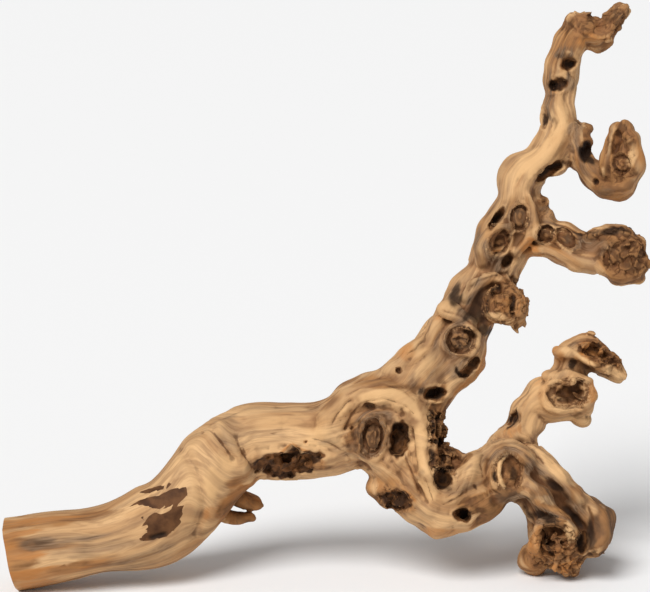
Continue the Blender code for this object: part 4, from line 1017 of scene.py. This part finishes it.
# Marks on the front of the wood, by colour: across, down, half length, half breadth, turn, strength.
MARKS = {
    "umber": [
        (590, 34, 40, 20, 0, 0.9), (560, 50, 24, 24, 0, 0.7), (548, 92, 12, 30, 0, 0.6),
        (590, 162, 22, 34, 30, 0.8), (612, 186, 42, 24, 0, 1.0), (622, 150, 28, 44, 0, 1.0),
        (588, 246, 40, 24, 0, 0.7), (626, 256, 34, 34, 0, 1.0), (545, 215, 24, 18, 0, 0.6),
        (500, 236, 34, 34, 0, 0.6), (520, 215, 22, 22, 0, 0.5), (492, 246, 18, 24, 0, 0.6),
        (505, 305, 34, 32, 0, 0.8), (461, 340, 24, 22, 0, 0.9), (602, 352, 34, 24, -20, 0.9),
        (570, 394, 26, 18, 0, 0.4), (510, 472, 30, 30, 0, 0.6), (562, 524, 48, 56, 0, 1.0),
        (602, 530, 26, 42, 0, 1.0), (533, 563, 22, 22, 0, 1.0), (440, 430, 14, 46, 0, 0.9),
        (392, 498, 34, 20, 0, 0.7), (498, 512, 26, 14, 10, 0.8), (10, 553, 30, 46, 0, 1.0),
        (378, 384, 50, 8, 0, 0.7), (334, 400, 20, 8, 40, 0.6), (353, 438, 16, 24, 0, 0.7),
        (474, 372, 16, 24, 0, 0.5), (240, 506, 30, 28, 0, 1.0), (290, 466, 40, 14, 0, 0.5),
        (180, 558, 56, 8, 20, 0.5), (448, 534, 40, 8, 0, 0.5), (384, 480, 16, 14, 0, 0.4),
        (232, 404, 46, 6, 20, 0.4), (70, 520, 76, 6, 8, 0.9), (80, 566, 60, 6, 10, 0.9),
        (40, 548, 50, 4, 6, 0.7), (190, 544, 40, 6, 34, 0.5), (373, 437, 19, 26, 0, 1.0),
        (572, 244, 40, 20, -8, 0.8), (488, 510, 30, 20, 10, 1.0),
    ],
    "brown": [
        (600, 180, 30, 20, 20, 0.5), (70, 566, 22, 4, 10, 0.9), (24, 544, 34, 3, 6, 0.7),
        (20, 566, 36, 3, 8, 0.7), (16, 527, 30, 3, 6, 0.7), (353, 438, 9, 16, 10, 1.0),
        (373, 437, 14, 21, 0, 0.5), (378, 387, 44, 5, 0, 0.6), (462, 314, 8, 6, 0, 0.5),
        (500, 304, 30, 23, 0, 0.9), (461, 340, 13, 13, 0, 1.0), (498, 240, 10, 10, 0, 0.6),
        (520, 217, 9, 12, 0, 1.0), (546, 235, 9, 9, 0, 1.0), (565, 240, 11, 11, 0, 0.9),
        (542, 202, 8, 6, 0, 0.8), (628, 256, 24, 26, 0, 1.0), (614, 234, 34, 7, 4, 1.0),
        (243, 508, 26, 26, 0, 1.0), (441, 430, 13, 42, 0, 1.0), (450, 459, 18, 15, 0, 1.0),
        (590, 22, 34, 18, 0, 0.9), (612, 20, 22, 30, 0, 1.0), (620, 144, 16, 22, 0, 0.8),
        (622, 165, 11, 11, 0, 1.0), (634, 174, 9, 8, 0, 1.0), (590, 136, 7, 14, 0, 1.0),
        (600, 352, 26, 12, -34, 0.6), (392, 500, 24, 12, -8, 0.7), (569, 394, 22, 14, 0, 0.8),
        (510, 472, 12, 18, 0, 0.8), (510, 490, 20, 8, 0, 0.7), (556, 541, 22, 22, 0, 0.5),
        (570, 562, 22, 16, 0, 0.7), (533, 563, 16, 14, 0, 0.6), (602, 530, 22, 38, 0, 1.0),
        (552, 496, 30, 15, -35, 0.7), (488, 510, 26, 16, 20, 1.0), (568, 64, 9, 7, 0, 1.0),
        (559, 84, 9, 8, 0, 1.0), (290, 464, 34, 11, 0, 0.8),
    ],
    "grey": [
        (461, 340, 22, 20, 0, 0.8), (38, 541, 18, 6, 6, 1.0), (110, 545, 60, 6, 8, 0.5),
        (150, 556, 60, 8, 20, 0.5), (232, 430, 20, 16, 30, 0.6), (90, 538, 44, 5, 8, 0.6),
        (70, 558, 30, 4, 8, 0.4), (185, 552, 30, 6, 30, 0.4), (448, 346, 40, 10, 62, 0.8),
        (436, 374, 16, 6, 60, 0.6), (462, 368, 14, 14, 0, 0.7), (474, 282, 12, 7, 20, 1.0),
        (456, 298, 6, 14, -20, 0.8), (482, 244, 9, 16, 20, 0.8), (500, 262, 14, 10, 0, 0.7),
        (508, 222, 20, 18, 0, 0.5), (546, 216, 18, 14, 0, 0.5), (584, 246, 20, 10, 0, 0.5),
        (548, 96, 7, 26, 0, 0.7), (563, 54, 10, 5, 0, 1.0), (570, 84, 6, 10, 0, 0.8),
        (575, 140, 8, 24, -10, 0.5), (586, 172, 12, 10, 0, 0.5), (607, 193, 9, 5, 0, 0.7),
        (413, 380, 5, 8, 0, 0.7), (421, 474, 5, 5, 0, 1.0), (338, 448, 18, 7, -20, 0.5),
        (373, 437, 18, 25, 0, 1.0), (460, 486, 16, 14, 0, 0.5), (500, 452, 22, 12, 10, 0.6),
        (536, 474, 12, 16, -30, 1.0), (545, 515, 18, 10, 0, 1.0), (556, 498, 16, 12, -30, 0.7),
        (582, 508, 12, 18, -20, 0.8), (600, 530, 16, 28, 0, 0.8), (526, 520, 8, 16, 0, 0.8),
        (576, 346, 8, 5, 0, 0.7), (590, 246, 26, 10, -5, 0.9), (602, 526, 20, 34, 0, 1.0),
        (552, 492, 32, 16, -35, 0.8), (512, 500, 22, 10, 0, 0.8), (470, 304, 16, 20, -15, 1.0),
    ],
    "orange": [
        (4, 553, 18, 46, 0, 0.6), (30, 521, 46, 5, 6, 0.9), (22, 534, 30, 4, 6, 0.8),
        (26, 556, 24, 4, 6, 0.9), (42, 573, 62, 7, 8, 0.9), (30, 584, 30, 6, 8, 0.9),
        (208, 512, 16, 9, 60, 0.7), (190, 548, 26, 8, 30, 0.5), (272, 462, 18, 9, 10, 0.6),
        (408, 352, 10, 8, 40, 0.7), (530, 250, 12, 12, 0, 0.9), (556, 262, 20, 5, -10, 0.5),
        (484, 364, 5, 26, -20, 0.8), (462, 386, 16, 5, 30, 0.8), (444, 320, 6, 12, 60, 0.5),
        (512, 432, 10, 6, 40, 0.6), (545, 392, 8, 20, 0, 0.4), (562, 356, 8, 12, 50, 0.6),
        (594, 395, 5, 18, 0, 0.7), (590, 34, 24, 12, 0, 0.5), (548, 90, 5, 16, 0, 0.6),
        (560, 144, 22, 10, 40, 0.3), (620, 197, 20, 6, 20, 0.5), (640, 160, 5, 24, 0, 0.5),
        (543, 545, 14, 20, 0, 0.5), (572, 568, 14, 8, 0, 0.4), (316, 463, 10, 6, 0, 0.8),
        (402, 498, 14, 8, -10, 1.0), (445, 532, 24, 5, 0, 0.6), (515, 306, 14, 18, 0, 0.7),
        (243, 506, 26, 26, 0, 0.8), (590, 350, 14, 7, -20, 0.9), (552, 550, 18, 12, 0, 0.6),
        (566, 566, 20, 9, 0, 0.7),
    ],
    "cream": [
        (376, 396, 32, 9, 0, 1.0), (345, 408, 18, 9, 50, 0.8), (404, 402, 18, 9, -30, 1.0),
        (418, 414, 14, 9, -60, 1.0), (421, 436, 10, 26, 0, 1.0), (422, 462, 10, 24, 0, 1.0),
        (430, 488, 9, 20, -25, 0.8), (320, 440, 26, 12, -10, 0.6), (415, 350, 12, 8, 40, 0.6),
        (430, 366, 12, 14, 0, 0.4), (440, 518, 30, 8, 0, 0.5), (536, 160, 34, 18, 40, 0.9),
        (560, 125, 10, 24, -10, 0.8), (563, 102, 8, 12, 0, 0.4), (540, 395, 18, 20, 40, 0.8),
        (526, 425, 20, 12, 40, 0.5), (564, 414, 20, 8, 0, 0.6), (553, 452, 22, 8, -40, 0.8),
        (568, 474, 14, 6, -50, 0.7), (617, 378, 9, 7, -30, 0.8), (633, 157, 6, 12, -20, 0.8),
        (497, 316, 12, 4, -8, 0.9), (520, 306, 4, 10, 0, 0.4), (282, 420, 50, 7, 0, 0.5),
        (212, 486, 22, 12, 70, 0.9), (226, 470, 16, 8, 60, 0.7), (120, 516, 34, 6, 8, 0.4),
        (120, 556, 50, 6, 8, 0.4), (612, 372, 10, 6, -30, 0.8), (571, 532, 6, 11, 10, 1.0),
        (546, 500, 12, 4, -20, 0.8), (552, 466, 26, 7, -50, 0.8),
    ],
    # Near-black marks: painted shade in hollows, holes and gaps, and a few dark streaks.
    "painted_shade_and_dark_streaks": [
        (492, 514, 18, 8, 20, 0.35), (296, 452, 9, 7, 30, 0.7), (398, 426, 8, 6, 0, 1.0),
        (401, 440, 8, 16, 0, 0.5), (464, 513, 8, 6, 0, 1.0), (435, 393, 12, 6, 0, 1.0),
        (443, 478, 11, 11, 0, 0.7), (514, 419, 6, 8, -20, 0.9), (476, 314, 12, 20, -15, 0.75),
        (484, 330, 12, 6, -20, 0.8), (456, 299, 6, 16, -20, 0.8), (562, 56, 8, 4, 0, 0.6),
        (569, 64, 7, 5, 0, 0.8), (557, 85, 8, 6, 0, 0.9), (586, 153, 7, 10, 0, 1.0),
        (596, 182, 5, 5, 0, 0.9), (546, 119, 4, 9, 0, 0.8), (612, 231, 32, 4, 4, 0.8),
        (580, 540, 5, 9, 0, 0.9), (596, 551, 9, 4, 0, 0.9), (543, 516, 20, 6, -8, 0.8),
        (591, 526, 5, 24, 0, 0.8), (571, 514, 14, 5, -40, 0.9), (556, 486, 12, 4, -32, 0.8),
        (530, 500, 7, 12, -20, 0.5), (514, 474, 5, 9, 0, 0.7), (572, 363, 5, 6, 0, 0.9),
        (566, 400, 12, 4, 0, 0.5), (506, 228, 6, 6, 0, 0.3), (624, 262, 22, 20, 0, 0.25),
    ],
}
COLOURS = ("stain", "umber", "orange", "cream", "grey", "brown", "painted_shade_and_dark_streaks")

# The bark left on the trunk, as outlines across and down.
STAINS = [
    [(136, 493), (148, 489), (160, 486), (172, 485), (160, 490), (146, 493)],
    [(128, 507), (140, 500), (160, 495), (172, 489), (187, 486), (188, 493), (178, 505), (152, 508),
     (140, 504)],
    [(140, 518), (165, 512), (184, 504), (182, 514), (180, 524), (165, 537), (148, 541), (137, 541),
     (148, 530), (147, 522)],
]


def inside_outline(points, outline):
    """How much each point is inside an outline in the front view, which blurs over two units."""
    places = seen(points)
    inside = np.zeros(len(points), bool)
    for (x, y), (next_x, next_y) in zip(outline, outline[1:] + outline[:1]):
        crosses = (places[:, 1] < y) != (places[:, 1] < next_y)
        level = (places[:, 1] - y) / (next_y - y) if next_y != y else np.zeros(len(points))
        inside ^= crosses & (places[:, 0] < x + level * (next_x - x))
    away = from_line(points, outline + outline[:1])
    return np.clip(0.5 + np.where(inside, away, -away) / 2, 0, 1)


# Each mark fades from its middle, raggedly and along the grain, so that no edge of it shows.
MARK_FADES = (0.4, 1.35)
MARK_RAGS = (0.35, 0.011)
MARK_STREAKS = (0.9, 0.0042)
grain = wavy_grain(points, normals)
rag_height, rag_width = MARK_RAGS
streak_height, streak_width = MARK_STREAKS
ragged = rag_height * rough(points / rag_width) + streak_height * rough(grain * STREAK_SHAPE / streak_width)
# These dips are painted into the colour as shade in dips and creases; the fine one also lightens ridges.
fine_dip = np.clip(sunken(FINE_ROUNDS) / FINE_DEPTH, -1, 1)
broad_dip = np.clip(sunken(BROAD_ROUNDS) / BROAD_DEPTH, -1, 1)
marks = {colour: np.zeros(len(points)) for colour in COLOURS}
not_behind = smooth_step(0.7, 0.1, normals[:, 1])
for colour, discs in MARKS.items():
    for *disc, strength in discs:
        share = strength * (1 - smooth_step(*MARK_FADES, in_radii(points, disc) + ragged))
        marks[colour] = np.maximum(marks[colour], share * not_behind)
front = facing(normals, -1)
wander = rough(points / STROKE_WANDER)
for half_breadth, _, colour, strength, line in STROKES:
    found, share = drawn(points, half_breadth + 0.4, line, wander)
    marks[colour][found] = np.maximum(marks[colour][found], strength * share * front[found])
for outline in STAINS:
    marks["stain"] = np.maximum(marks["stain"], inside_outline(points, outline) * front)
for knot in KNOTS:
    marks["brown"] = np.maximum(marks["brown"], 0.75 * disc_share(points, normals, knot, knot[6], ragged))
broken = np.clip(crag_height(points, normals) / 2.5, 0, 1)
marks["brown"] = np.maximum(marks["brown"], 0.7 * broken)

# Bare cream and orange wood shows through the brown, and the back has wide patches of its own: each is a
# colour, the patches' width in metres and how far their noise lies from the others'.
BACK_PATCHES = [("grey", 0.045, 0), ("umber", 0.05, 5), ("cream", 0.05, 9), ("orange", 0.03, 14)]
for colour in ("umber", "brown"):
    marks[colour] *= 1 - 0.85 * np.maximum(marks["cream"], 0.7 * marks["orange"])
behind = facing(normals, 1)
for colour, size, apart in BACK_PATCHES:
    patch = smooth_step(0.0, 0.3, rough(points / size + apart) + 0.3 * ragged)
    marks[colour] = np.maximum(marks[colour], 0.8 * behind * patch)
hollow = hollow_share(points, normals)
# The wood's own occlusion of each point, painted into the colour as shade.
occlusion_shade = occlusion_shade_share()


def keep_attribute(name, values):
    """Stores a value or a vector for each point of the skin under a name that the material reads."""
    kind, field = ("FLOAT_VECTOR", "vector") if values.ndim == 2 else ("FLOAT", "value")
    attribute = wood.data.attributes.new(name, kind, "POINT")
    attribute.data.foreach_set(field, values.astype(np.float32).ravel())


for name, values in marks.items():
    keep_attribute(name, values)
for name, values in (
    ("grain", grain),
    ("fine_dip", fine_dip),
    ("broad_dip", broad_dip),
    ("hollow", hollow),
    ("occlusion_shade", occlusion_shade),
    ("broken", broken),
):
    keep_attribute(name, values)

# The piece leans back on its low points, fills the part's own box and is cut flat where it stands.
SHARP_EDGE = math.radians(58)
lean = np.array(Euler((-LEAN_BACK, 0, 0)).to_matrix())
standing = points @ lean.T
low, high = standing.min(0), standing.max(0)
cad_low, cad_high = (np.array(corner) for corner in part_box("driftwood"))
fit = (cad_high - cad_low) / (high - low)
fit[2] = 1
shift = cad_high - high * fit
standing = standing * fit + shift
wood.data.vertices.foreach_set("co", standing.ravel())
bm = bmesh.new()
bm.from_mesh(wood.data)
saw(bm, Vector((0, 0, 0)), Vector((0, 0, -1)))
for vert in bm.verts:
    vert.co.z = max(vert.co.z, 0)
bm.faces.index_update()
drop_crumbs(bm)
bmesh.ops.triangulate(bm, faces=[face for face in bm.faces if len(face.verts) > 4])
bm.to_mesh(wood.data)
bm.free()
wood.data.shade_smooth()
wood.data.set_sharp_from_angle(angle=SHARP_EDGE)


# The wood's colours are layers from clean wood to rotted wood and painted shade. The attributes above say
# where, and streaks along the grain break each layer up.
def paint(red, green, blue):
    """A colour in display values, as the shader's own."""
    return tuple(((value / 255 + 0.055) / 1.055) ** 2.4 for value in (red, green, blue)) + (1,)


def add_node(tree, kind, **settings):
    node = tree.nodes.new(kind)
    for name, value in settings.items():
        setattr(node, name, value)
    return node


def feed(tree, socket, value):
    """Links another node's output to a socket, or sets the socket to a plain value."""
    if isinstance(value, bpy.types.NodeSocket):
        tree.links.new(value, socket)
    else:
        socket.default_value = value


def sum_of(tree, operation, one, other=0.0):
    node = add_node(tree, "ShaderNodeMath", operation=operation)
    feed(tree, node.inputs[0], one)
    feed(tree, node.inputs[1], other)
    return node.outputs[0]


def times(tree, one, other):
    return sum_of(tree, "MULTIPLY", one, other)


def plus(tree, *values):
    total = values[0]
    for value in values[1:]:
        total = sum_of(tree, "ADD", total, value)
    return total


def spread(tree, value, low, high):
    """0 below low, 1 above high, and smooth between."""
    node = add_node(tree, "ShaderNodeMapRange", interpolation_type="SMOOTHSTEP")
    feed(tree, node.inputs["Value"], value)
    node.inputs["From Min"].default_value = low
    node.inputs["From Max"].default_value = high
    return node.outputs["Result"]


def layer(tree, share, below, above):
    """One colour laid over another where its share says."""
    node = add_node(tree, "ShaderNodeMix", data_type="RGBA")
    feed(tree, node.inputs[0], share)
    feed(tree, node.inputs[6], below)
    feed(tree, node.inputs[7], above)
    return node.outputs[2]


def layer_share(tree, value, low, high, least):
    """A streaked share that is never below the least."""
    return plus(tree, least, times(tree, spread(tree, value, low, high), 1 - least))


def told(tree, name, output="Fac"):
    return add_node(tree, "ShaderNodeAttribute", attribute_name=name).outputs[output]


def grain_group():
    """Streaks in the wood, Width across the grain and Length along it, in metres."""
    group = bpy.data.node_groups.new("vine grain", "ShaderNodeTree")
    group.interface.new_socket("Grain", in_out="INPUT", socket_type="NodeSocketVector")
    for name, value in (("Width", 0.002), ("Length", 0.05), ("Detail", 2.0)):
        socket = group.interface.new_socket(name, in_out="INPUT", socket_type="NodeSocketFloat")
        socket.default_value = value
    group.interface.new_socket("Streaks", in_out="OUTPUT", socket_type="NodeSocketFloat")
    given = add_node(group, "NodeGroupInput")
    across = sum_of(group, "DIVIDE", 1.0, given.outputs["Width"])
    along = sum_of(group, "DIVIDE", 1.0, given.outputs["Length"])
    scale = add_node(group, "ShaderNodeCombineXYZ")
    for name, value in (("X", across), ("Y", across), ("Z", along)):
        feed(group, scale.inputs[name], value)
    scaled = add_node(group, "ShaderNodeVectorMath", operation="MULTIPLY")
    feed(group, scaled.inputs[0], given.outputs["Grain"])
    feed(group, scaled.inputs[1], scale.outputs[0])
    streaks = add_node(group, "ShaderNodeTexNoise")
    streaks.inputs["Scale"].default_value = 1
    feed(group, streaks.inputs["Vector"], scaled.outputs[0])
    feed(group, streaks.inputs["Detail"], given.outputs["Detail"])
    result = add_node(group, "NodeGroupOutput")
    feed(group, result.inputs["Streaks"], streaks.outputs["Fac"])
    return group


VINE_GRAIN = grain_group()


def streaks(tree, places, width, length, detail=2.0):
    node = add_node(tree, "ShaderNodeGroup", node_tree=VINE_GRAIN)
    feed(tree, node.inputs["Grain"], places)
    node.inputs["Width"].default_value = width
    node.inputs["Length"].default_value = length
    node.inputs["Detail"].default_value = detail
    return node.outputs["Streaks"]


def blotches(tree, scale, detail):
    """Patches with no direction, so many to the metre."""
    node = add_node(tree, "ShaderNodeTexNoise")
    node.inputs["Scale"].default_value = scale
    node.inputs["Detail"].default_value = detail
    feed(tree, node.inputs["Vector"], add_node(tree, "ShaderNodeTexCoord").outputs["Object"])
    return node.outputs["Fac"]


def weathered_wood():
    """Sandblasted vine wood: cream and tan bands, grey weathering, brown burl, rotted hollows and painted
    shade.
    """
    material = bpy.data.materials.new("sandblasted vine wood")
    material.use_nodes = True
    tree = material.node_tree
    surface = tree.nodes["Principled BSDF"]
    places = told(tree, "grain", "Vector")
    bands = streaks(tree, places, 0.012, 0.16, 2.0)
    lines = streaks(tree, places, 0.0036, 0.10)
    fibres = streaks(tree, places, 0.0010, 0.025)
    patches = blotches(tree, 26, 3)
    specks = blotches(tree, 110, 4)

    # Clean wood: bands of cream and tan, with faint growth lines.
    strands = streaks(tree, places, 0.0062, 0.14, 3.0)
    colour = layer(tree, spread(tree, bands, 0.36, 0.62), paint(182, 138, 94), paint(214, 172, 124))
    colour = layer(tree, times(tree, spread(tree, strands, 0.5, 0.68), 0.5), colour, paint(146, 114, 86))
    rings = spread(tree, sum_of(tree, "SINE", times(tree, bands, 120.0)), -0.2, 1.0)
    colour = layer(tree, times(tree, rings, 0.24), colour, paint(146, 106, 72))
    colour = layer(tree, times(tree, spread(tree, lines, 0.47, 0.66), 0.55), colour, paint(138, 102, 72))
    colour = layer(tree, times(tree, spread(tree, fibres, 0.45, 0.8), 0.35), colour, paint(146, 110, 78))

    # Ridges painted lighter: partly wear, partly painted highlight.
    wear_and_painted_highlight = spread(tree, times(tree, told(tree, "fine_dip"), -1.0), 0.15, 1.0)
    colour = layer(tree, times(tree, wear_and_painted_highlight, 0.35), colour, paint(216, 174, 124))

    # Brown-tan, cream, orange and grey-brown places.
    umber = plus(tree, told(tree, "umber"), times(tree, patches, 0.7), times(tree, bands, 0.3))
    tanned = layer(tree, spread(tree, lines, 0.35, 0.65), paint(170, 120, 72), paint(122, 82, 50))
    colour = layer(tree, times(tree, spread(tree, umber, 0.6, 1.35), 0.9), colour, tanned)
    pale = plus(tree, told(tree, "cream"), times(tree, patches, 0.5), times(tree, bands, 0.3))
    pale = times(tree, spread(tree, pale, 0.5, 1.2), layer_share(tree, strands, 0.62, 0.42, 0.45))
    colour = layer(tree, times(tree, pale, 0.85), colour, paint(222, 178, 126))
    warm = plus(tree, told(tree, "orange"), times(tree, patches, 0.7), times(tree, lines, 0.3))
    warm = times(tree, spread(tree, warm, 0.62, 1.3), layer_share(tree, lines, 0.62, 0.42, 0.5))
    colour = layer(tree, times(tree, warm, 0.8), colour, paint(180, 116, 58))
    weather = plus(tree, told(tree, "grey"), times(tree, lines, 0.8), times(tree, patches, 0.8))
    weather = times(tree, spread(tree, weather, 0.8, 1.6), layer_share(tree, strands, 0.36, 0.58, 0.4))
    weathered = layer(tree, spread(tree, fibres, 0.3, 0.7), paint(88, 68, 52), paint(150, 122, 96))
    colour = layer(tree, times(tree, weather, 0.9), colour, weathered)

    # Brown burl and bark, mottled from light to dark.
    burl = plus(tree, told(tree, "brown"), times(tree, patches, 0.5), times(tree, lines, 0.3))
    burl = spread(tree, burl, 0.62, 1.1)
    torn = layer(tree, spread(tree, specks, 0.34, 0.66), paint(80, 52, 30), paint(138, 94, 58))
    torn = layer(tree, times(tree, weather, 0.6), torn, paint(98, 78, 60))
    # The torn burl's ridges are lighter too: wear and painted highlight.
    torn = layer(tree, times(tree, wear_and_painted_highlight, 0.4), torn, paint(184, 132, 82))
    torn = layer(tree, times(tree, spread(tree, fibres, 0.5, 0.75), 0.5), torn, paint(64, 40, 24))
    colour = layer(tree, times(tree, burl, 0.9), colour, torn)

    # What the relief tells, painted in as shade: dips are browner, and occluded places and fine creases
    # darker.
    # Broad dips painted browner: painted shade.
    painted_dip_shade = spread(tree, told(tree, "broad_dip"), 0.1, 0.9)
    colour = layer(tree, times(tree, painted_dip_shade, 0.4), colour, paint(138, 84, 42))
    # Places the wood itself occludes painted dark brown: painted shade.
    closed = spread(tree, told(tree, "occlusion_shade"), 0.2, 0.75)
    colour = layer(tree, times(tree, closed, 0.7), colour, paint(86, 52, 26))
    # Fine creases painted dark: painted shade.
    cracks = spread(tree, told(tree, "fine_dip"), 0.2, 1.0)
    colour = layer(tree, times(tree, cracks, 0.6), colour, paint(74, 46, 27))

    # Crisp patches of bark left on the trunk, rotted hollows that are painted darker with depth as shade, and
    # near-black painted shade in cracks, holes and gaps.
    stained = spread(tree, plus(tree, told(tree, "stain"), times(tree, lines, 0.7)), 0.74, 0.86)
    bark = layer(tree, spread(tree, specks, 0.3, 0.7), paint(70, 43, 25), paint(108, 72, 44))
    colour = layer(tree, stained, colour, bark)
    # Rotted wood in the hollows, painted darker the deeper the hollow: partly rot, partly painted shade.
    rot_and_depth_shade = spread(tree, plus(tree, told(tree, "hollow"), times(tree, specks, 0.25)), 0.3, 0.75)
    rot_and_shade_tone = layer(tree, spread(tree, specks, 0.4, 0.65), paint(58, 36, 20), paint(122, 80, 46))
    colour = layer(tree, rot_and_depth_shade, colour, rot_and_shade_tone)
    # Near black in cracks, holes and gaps: painted shade, with a few dark streaks.
    painted_shade_and_dark_streaks = spread(tree, plus(tree, told(tree, "painted_shade_and_dark_streaks"), times(tree, specks, 0.4)), 0.4, 1.1)
    colour = layer(tree, times(tree, painted_shade_and_dark_streaks, 0.92), colour, paint(38, 24, 15))
    feed(tree, surface.inputs["Base Color"], colour)

    # Weathered fibres are the mattest, and the finest relief is bump.
    rough_value = spread(tree, plus(tree, fibres, weather), 0.2, 1.6)
    roughness = add_node(tree, "ShaderNodeMapRange")
    feed(tree, roughness.inputs["Value"], rough_value)
    roughness.inputs["To Min"].default_value = 0.62
    roughness.inputs["To Max"].default_value = 0.85
    feed(tree, surface.inputs["Roughness"], roughness.outputs["Result"])
    surface.inputs["Specular IOR Level"].default_value = 0.14
    torn_height = times(tree, times(tree, specks, told(tree, "broken")), 3.0)
    height = plus(tree, times(tree, lines, 0.9), times(tree, fibres, 0.4), torn_height)
    bump = add_node(tree, "ShaderNodeBump")
    bump.inputs["Strength"].default_value = 0.6
    bump.inputs["Distance"].default_value = 0.0005
    feed(tree, bump.inputs["Height"], height)
    feed(tree, surface.inputs["Normal"], bump.outputs["Normal"])
    return material


def sawn_end(pith):
    """End grain: growth rings round the pith, cracks that run out from it, and the saw's marks."""
    material = bpy.data.materials.new("sawn end grain")
    material.use_nodes = True
    tree = material.node_tree
    surface = tree.nodes["Principled BSDF"]
    offset = add_node(tree, "ShaderNodeVectorMath", operation="SUBTRACT")
    feed(tree, offset.inputs[0], add_node(tree, "ShaderNodeTexCoord").outputs["Object"])
    offset.inputs[1].default_value = pith
    apart = add_node(tree, "ShaderNodeSeparateXYZ")
    feed(tree, apart.inputs[0], offset.outputs[0])
    distance = add_node(tree, "ShaderNodeVectorMath", operation="LENGTH")
    feed(tree, distance.inputs[0], offset.outputs[0])
    patches = blotches(tree, 60, 3)
    radius = plus(tree, distance.outputs["Value"], times(tree, patches, 0.004))
    rings = spread(tree, sum_of(tree, "SINE", times(tree, radius, 2800.0)), -0.4, 1.0)
    angle = sum_of(tree, "ARCTAN2", apart.outputs["Y"], apart.outputs["Z"])
    rays = add_node(tree, "ShaderNodeTexNoise", noise_dimensions="1D")
    rays.inputs["Scale"].default_value = 5
    rays.inputs["Detail"].default_value = 3
    feed(tree, rays.inputs["W"], angle)
    cracks = spread(tree, rays.outputs["Fac"], 0.63, 0.7)
    saw_marks = spread(tree, sum_of(tree, "SINE", times(tree, apart.outputs["Z"], 3600.0)), -1.0, 1.0)
    colour = layer(tree, rings, paint(206, 158, 104), paint(158, 108, 62))
    colour = layer(tree, times(tree, patches, 0.5), colour, paint(132, 92, 58))
    colour = layer(tree, times(tree, cracks, 0.8), colour, paint(62, 38, 22))
    rim = spread(tree, distance.outputs["Value"], 0.022, 0.03)
    colour = layer(tree, times(tree, rim, 0.6), colour, paint(108, 70, 40))
    feed(tree, surface.inputs["Base Color"], colour)
    surface.inputs["Roughness"].default_value = 0.8
    surface.inputs["Specular IOR Level"].default_value = 0.3
    height = plus(tree, rings, times(tree, saw_marks, 0.5), times(tree, cracks, -3.0))
    bump = add_node(tree, "ShaderNodeBump")
    bump.inputs["Strength"].default_value = 0.5
    bump.inputs["Distance"].default_value = 0.0004
    feed(tree, bump.inputs["Height"], height)
    feed(tree, surface.inputs["Normal"], bump.outputs["Normal"])
    return material


# The butt's own faces get the end grain.
BUTT_FLATNESS = 0.0012
butt = Vector(lean @ np.array(BUTT_POINT) * fit + shift)
butt_normal = Vector(lean @ np.array(BUTT_NORMAL))
wood.data.materials.clear()
wood.data.materials.append(weathered_wood())
wood.data.materials.append(sawn_end(butt))
for face in wood.data.polygons:
    on_butt = abs((face.center - butt).dot(butt_normal)) < BUTT_FLATNESS
    if on_butt and face.normal.dot(butt_normal) > 0.9:
        face.material_index = 1
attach(wood, "root")
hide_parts("driftwood")

# The floor is a plain pale sheet that runs out past the view on all sides, just under the wood.
FLOOR_SIDE = 24
FLOOR_DROP = 0.0002
bm = bmesh.new()
bmesh.ops.create_grid(bm, x_segments=8, y_segments=8, size=FLOOR_SIDE / 2)
floor_mesh = bpy.data.meshes.new("studio_floor")
bm.to_mesh(floor_mesh)
bm.free()
floor = bpy.data.objects.new("studio_floor", floor_mesh)
bpy.context.scene.collection.objects.link(floor)
floor.location.z = -FLOOR_DROP
paper = bpy.data.materials.new("pale paper")
paper.use_nodes = True
paper_surface = paper.node_tree.nodes["Principled BSDF"]
paper_surface.inputs["Base Color"].default_value = (0.93, 0.93, 0.93, 1)
paper_surface.inputs["Roughness"].default_value = 0.9
floor_mesh.materials.append(paper)

# One broad soft light comes from the upper left in front, and a pale room fills the shadows.
sun = bpy.data.lights.new("front_softbox", "SUN")
sun.energy = 2.7
sun.angle = math.radians(32)
front_light = bpy.data.objects.new("front_softbox", sun)
bpy.context.scene.collection.objects.link(front_light)
front_light.rotation_euler = Vector((0.42, 0.72, -0.95)).to_track_quat("-Z", "Y").to_euler()
world = bpy.data.worlds.new("pale studio")
bpy.context.scene.world = world
world.use_nodes = True
room = world.node_tree.nodes["Background"]
room.inputs["Color"].default_value = (1, 1, 1, 1)
room.inputs["Strength"].default_value = 0.36
bpy.context.scene.view_settings.view_transform = "Standard"

# The camera stands where the front view was drawn from, and looks down by the piece's lean.
IMAGE_WIDTH = 650
SENSOR_WIDTH = 36
lens_plane = IMAGE_WIDTH * UNIT
camera = bpy.data.objects.new("camera", bpy.data.cameras.new("camera"))
bpy.context.scene.collection.objects.link(camera)
camera.data.sensor_width = SENSOR_WIDTH
camera.data.lens = SENSOR_WIDTH * VIEW_DISTANCE / lens_plane
view_across, view_down = VIEW_MIDDLE
eye = Matrix.Translation((view_across * UNIT, -VIEW_DISTANCE, (GROUND_ROW - view_down) * UNIT))
eye = eye @ Euler((math.radians(90), 0, 0)).to_matrix().to_4x4()
turn = Euler((-LEAN_BACK, 0, 0)).to_matrix().to_4x4()
camera.matrix_world = Matrix.Translation(Vector(shift)) @ turn @ eye
bpy.context.scene.camera = camera
